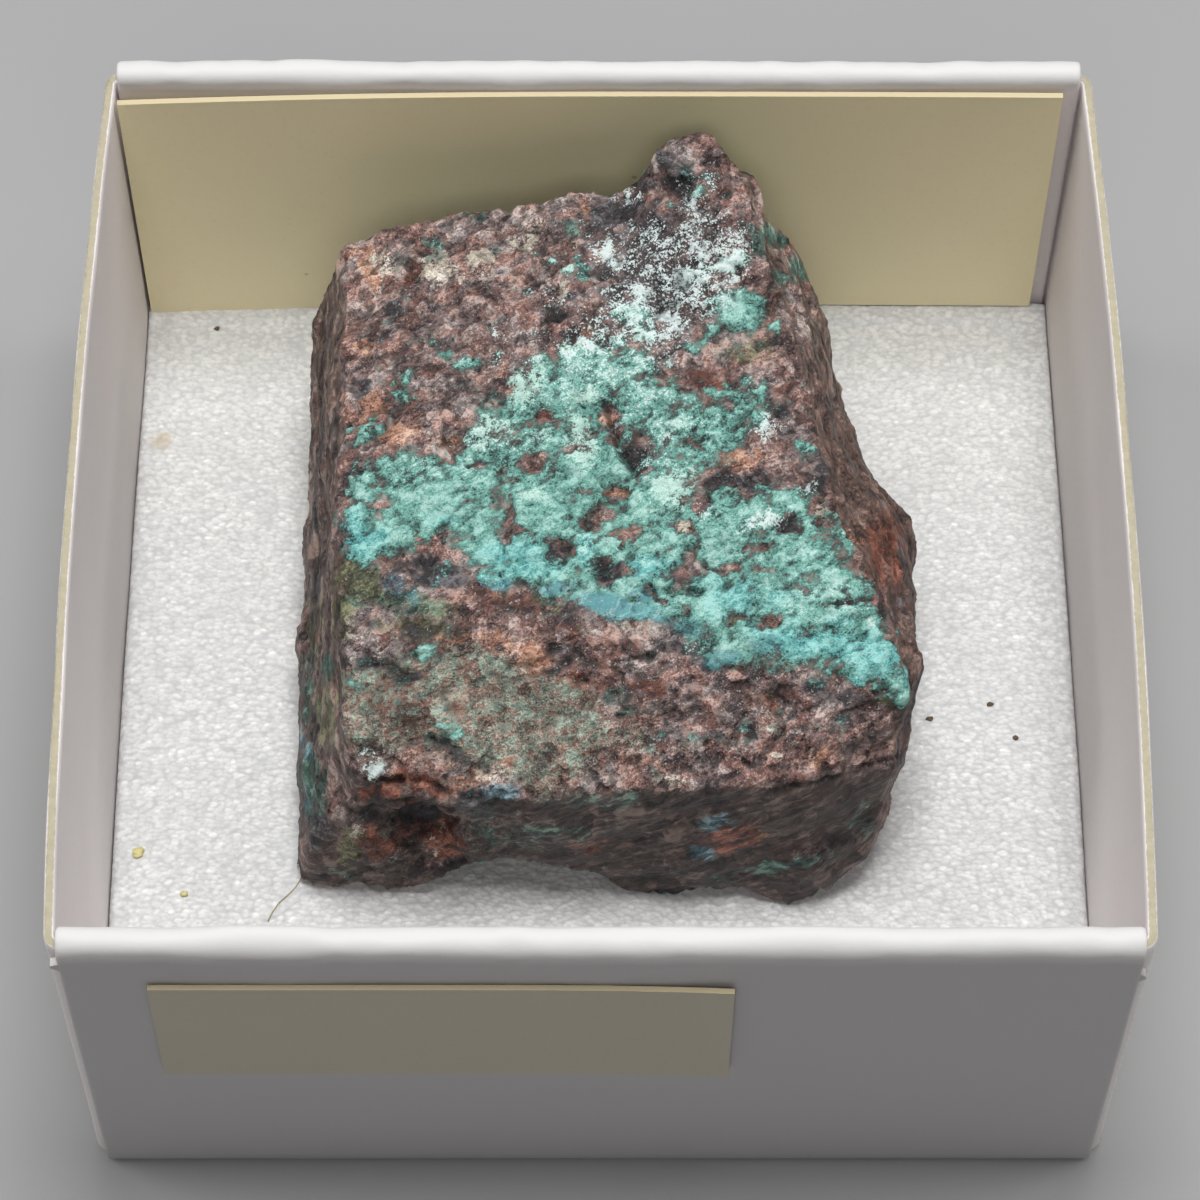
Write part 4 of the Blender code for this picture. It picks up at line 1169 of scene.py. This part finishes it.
def foam_sheet():
    """A closed sheet of fine squares, two wide each way, its top at 0 and its foot at -1."""
    bm = bmesh.new()
    columns = int(2.0 * FOAM_HALF_X / FOAM_STEP)
    rows = int(2.0 * FOAM_HALF_Y / FOAM_STEP)
    bmesh.ops.create_grid(bm, x_segments=columns, y_segments=rows, size=1.0)
    rim = [edge for edge in bm.edges if edge.is_boundary]
    grown = bmesh.ops.extrude_edge_only(bm, edges=rim)["geom"]
    for vert in (part for part in grown if isinstance(part, bmesh.types.BMVert)):
        vert.co.z = -1.0
    foot = [part for part in grown if isinstance(part, bmesh.types.BMEdge)]
    bmesh.ops.contextual_create(bm, geom=foot)
    mesh = bpy.data.meshes.new("soft_pad")
    bm.to_mesh(mesh)
    bm.free()
    return mesh


def foam_relief(points):
    """Height of the foam's top at each place, and how high the place lies on its cell's dome."""
    spots = points / np.array([1.35, 1.0, 1.0])
    spots[:, 0] += 0.12 * noise_of(points, 0.5)
    spots[:, 1] += 0.12 * noise_of(points, 0.5, (5.0, 1.0, 7.0))
    cells = np.clip(cells_of(spots, FOAM_CELL) / 0.55, 0.0, 1.0)
    dome = np.sqrt(cells)
    height = 0.065 * dome + 0.05 * noise_of(points, 0.9, (3.0, 3.0, 1.0))
    height += 0.06 * noise_of(points, 3.5, (1.0, 8.0, 2.0)) - FOAM_SINK
    height += FOAM_LIP * smooth_step(17.6, 18.5, points[:, 1])
    border = np.minimum(FOAM_HALF_X + 0.1 - np.abs(points[:, 0]), FOAM_HALF_Y - np.abs(points[:, 1]))
    border = np.clip(border, 0.0, FOAM_EDGE_ROUND)
    rise = np.maximum(0.0, FOAM_EDGE_ROUND ** 2 - (FOAM_EDGE_ROUND - border) ** 2)
    drop = FOAM_EDGE_ROUND - np.sqrt(rise)
    return FOAM_TOP + height - drop, dome


def foam_mesh():
    mesh = foam_sheet()
    points = read_places(mesh) * np.array([FOAM_HALF_X, FOAM_HALF_Y, 1.0])
    below = points[:, 2] < -0.5
    points[:, 0] *= 1.0 + (0.04 + 0.15 * (1.0 - (points[:, 1] / TRAY_HALF) ** 2)) / FOAM_HALF_X
    points[:, 2] = 0.0
    points[:, 2], dome = foam_relief(points)
    points[below, 2] = FOAM_FOOT
    dome[below] = 0.5
    write_points(mesh, points)
    spot = np.hypot(points[:, 0] - FOAM_STAIN[0], points[:, 1] - FOAM_STAIN[1]) / FOAM_STAIN[2]
    stain = np.clip(1.0 - spot - 0.4 * noise_of(points, 0.4), 0.0, 1.0)
    crumb = add_crumbs(mesh)
    extra = np.zeros(len(crumb) - len(dome))
    write_mask(mesh, "dome", np.append(dome, extra))
    write_mask(mesh, "stain", np.append(stain, extra))
    write_mask(mesh, "crumb", crumb)
    mesh.shade_smooth()
    return mesh


def foam_material():
    s = Shader("foam")
    dome_mask = s.mask("dome")
    # Painted shade between the cell domes and painted highlight on their tops
    color = s.mix(s.ramp(dome_mask, 0.1, 0.9), *FOAM_TONES)
    color = s.mix(s.ramp(s.noise(1.1, 1.0), 0.45, 0.65, 0.0, 0.4), color, FOAM_CLOUD_TONE)
    pores = s.cells(0.19, s.scaled_place((1.5, 1.0, 1.0)))["Distance"]
    # Painted shade in the creases between the pores
    color = s.mix(s.ramp(pores, 0.42, 0.80, 0.0, 0.70), color, FOAM_CREASE_SHADE_TONE)
    stain = s.ramp(s.mask("stain"), 0.0, 1.0, 0.0, 0.8)
    color = s.mix(stain, color, FOAM_STAIN_TONE)
    crumb = s.mask("crumb")
    crumb_tone = s.mix(s.ramp(crumb, 1.4, 1.6), *CRUMB_TONES)
    color = s.mix(s.ramp(crumb, 0.4, 0.6), color, crumb_tone)
    s.main.inputs["Specular IOR Level"].default_value = 0.45
    return s.finish(color, s.mix_number(dome_mask, 0.5, 0.3), s.bump(pores, 0.60, 0.05))


def make_foam():
    foam = add_item("soft_pad", foam_mesh())
    dress(foam, foam_material())
    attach(foam, "root")
    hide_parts("foam_pad")


# Name card and number label


def cream_paper(name, one, two, fleck):
    s = Shader(name)
    paper = s.mix(s.noise(4.0, 3.0), one, two)
    paper = s.mix(s.ramp(s.noise(0.25, 3.0, 0.7), 0.55, 0.7, 0.0, 0.35), paper, fleck)
    specks = s.cells(1.6)
    dust = s.ramp(specks["Distance"], 0.06, 0.10, 1.0, 0.0)
    dust = s.math("MULTIPLY", s.ramp(s.split(specks["Color"])[0], 0.90, 0.92), dust)
    paper = s.mix(s.math("MULTIPLY", dust, 0.5), paper, PAPER_DUST_TONE)
    facing = s.axes(s.node("ShaderNodeNewGeometry").outputs["Normal"])
    paper = s.mix(s.ramp(facing[2], 0.4, 0.8), paper, PAPER_EDGE_TONE)
    return s.finish(paper, 0.75, s.bump(s.noise(0.22, 3.0), 0.2, 0.03))


def dress_cards():
    dress(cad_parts["name_card"], cream_paper("name_card_paper", *NAME_CARD_TONES))
    dress(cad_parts["number_label"], cream_paper("label_paper", *LABEL_TONES))


make_camera()
make_lights()
make_floor()
make_stone()
make_tray()
make_foam()
dress_cards()
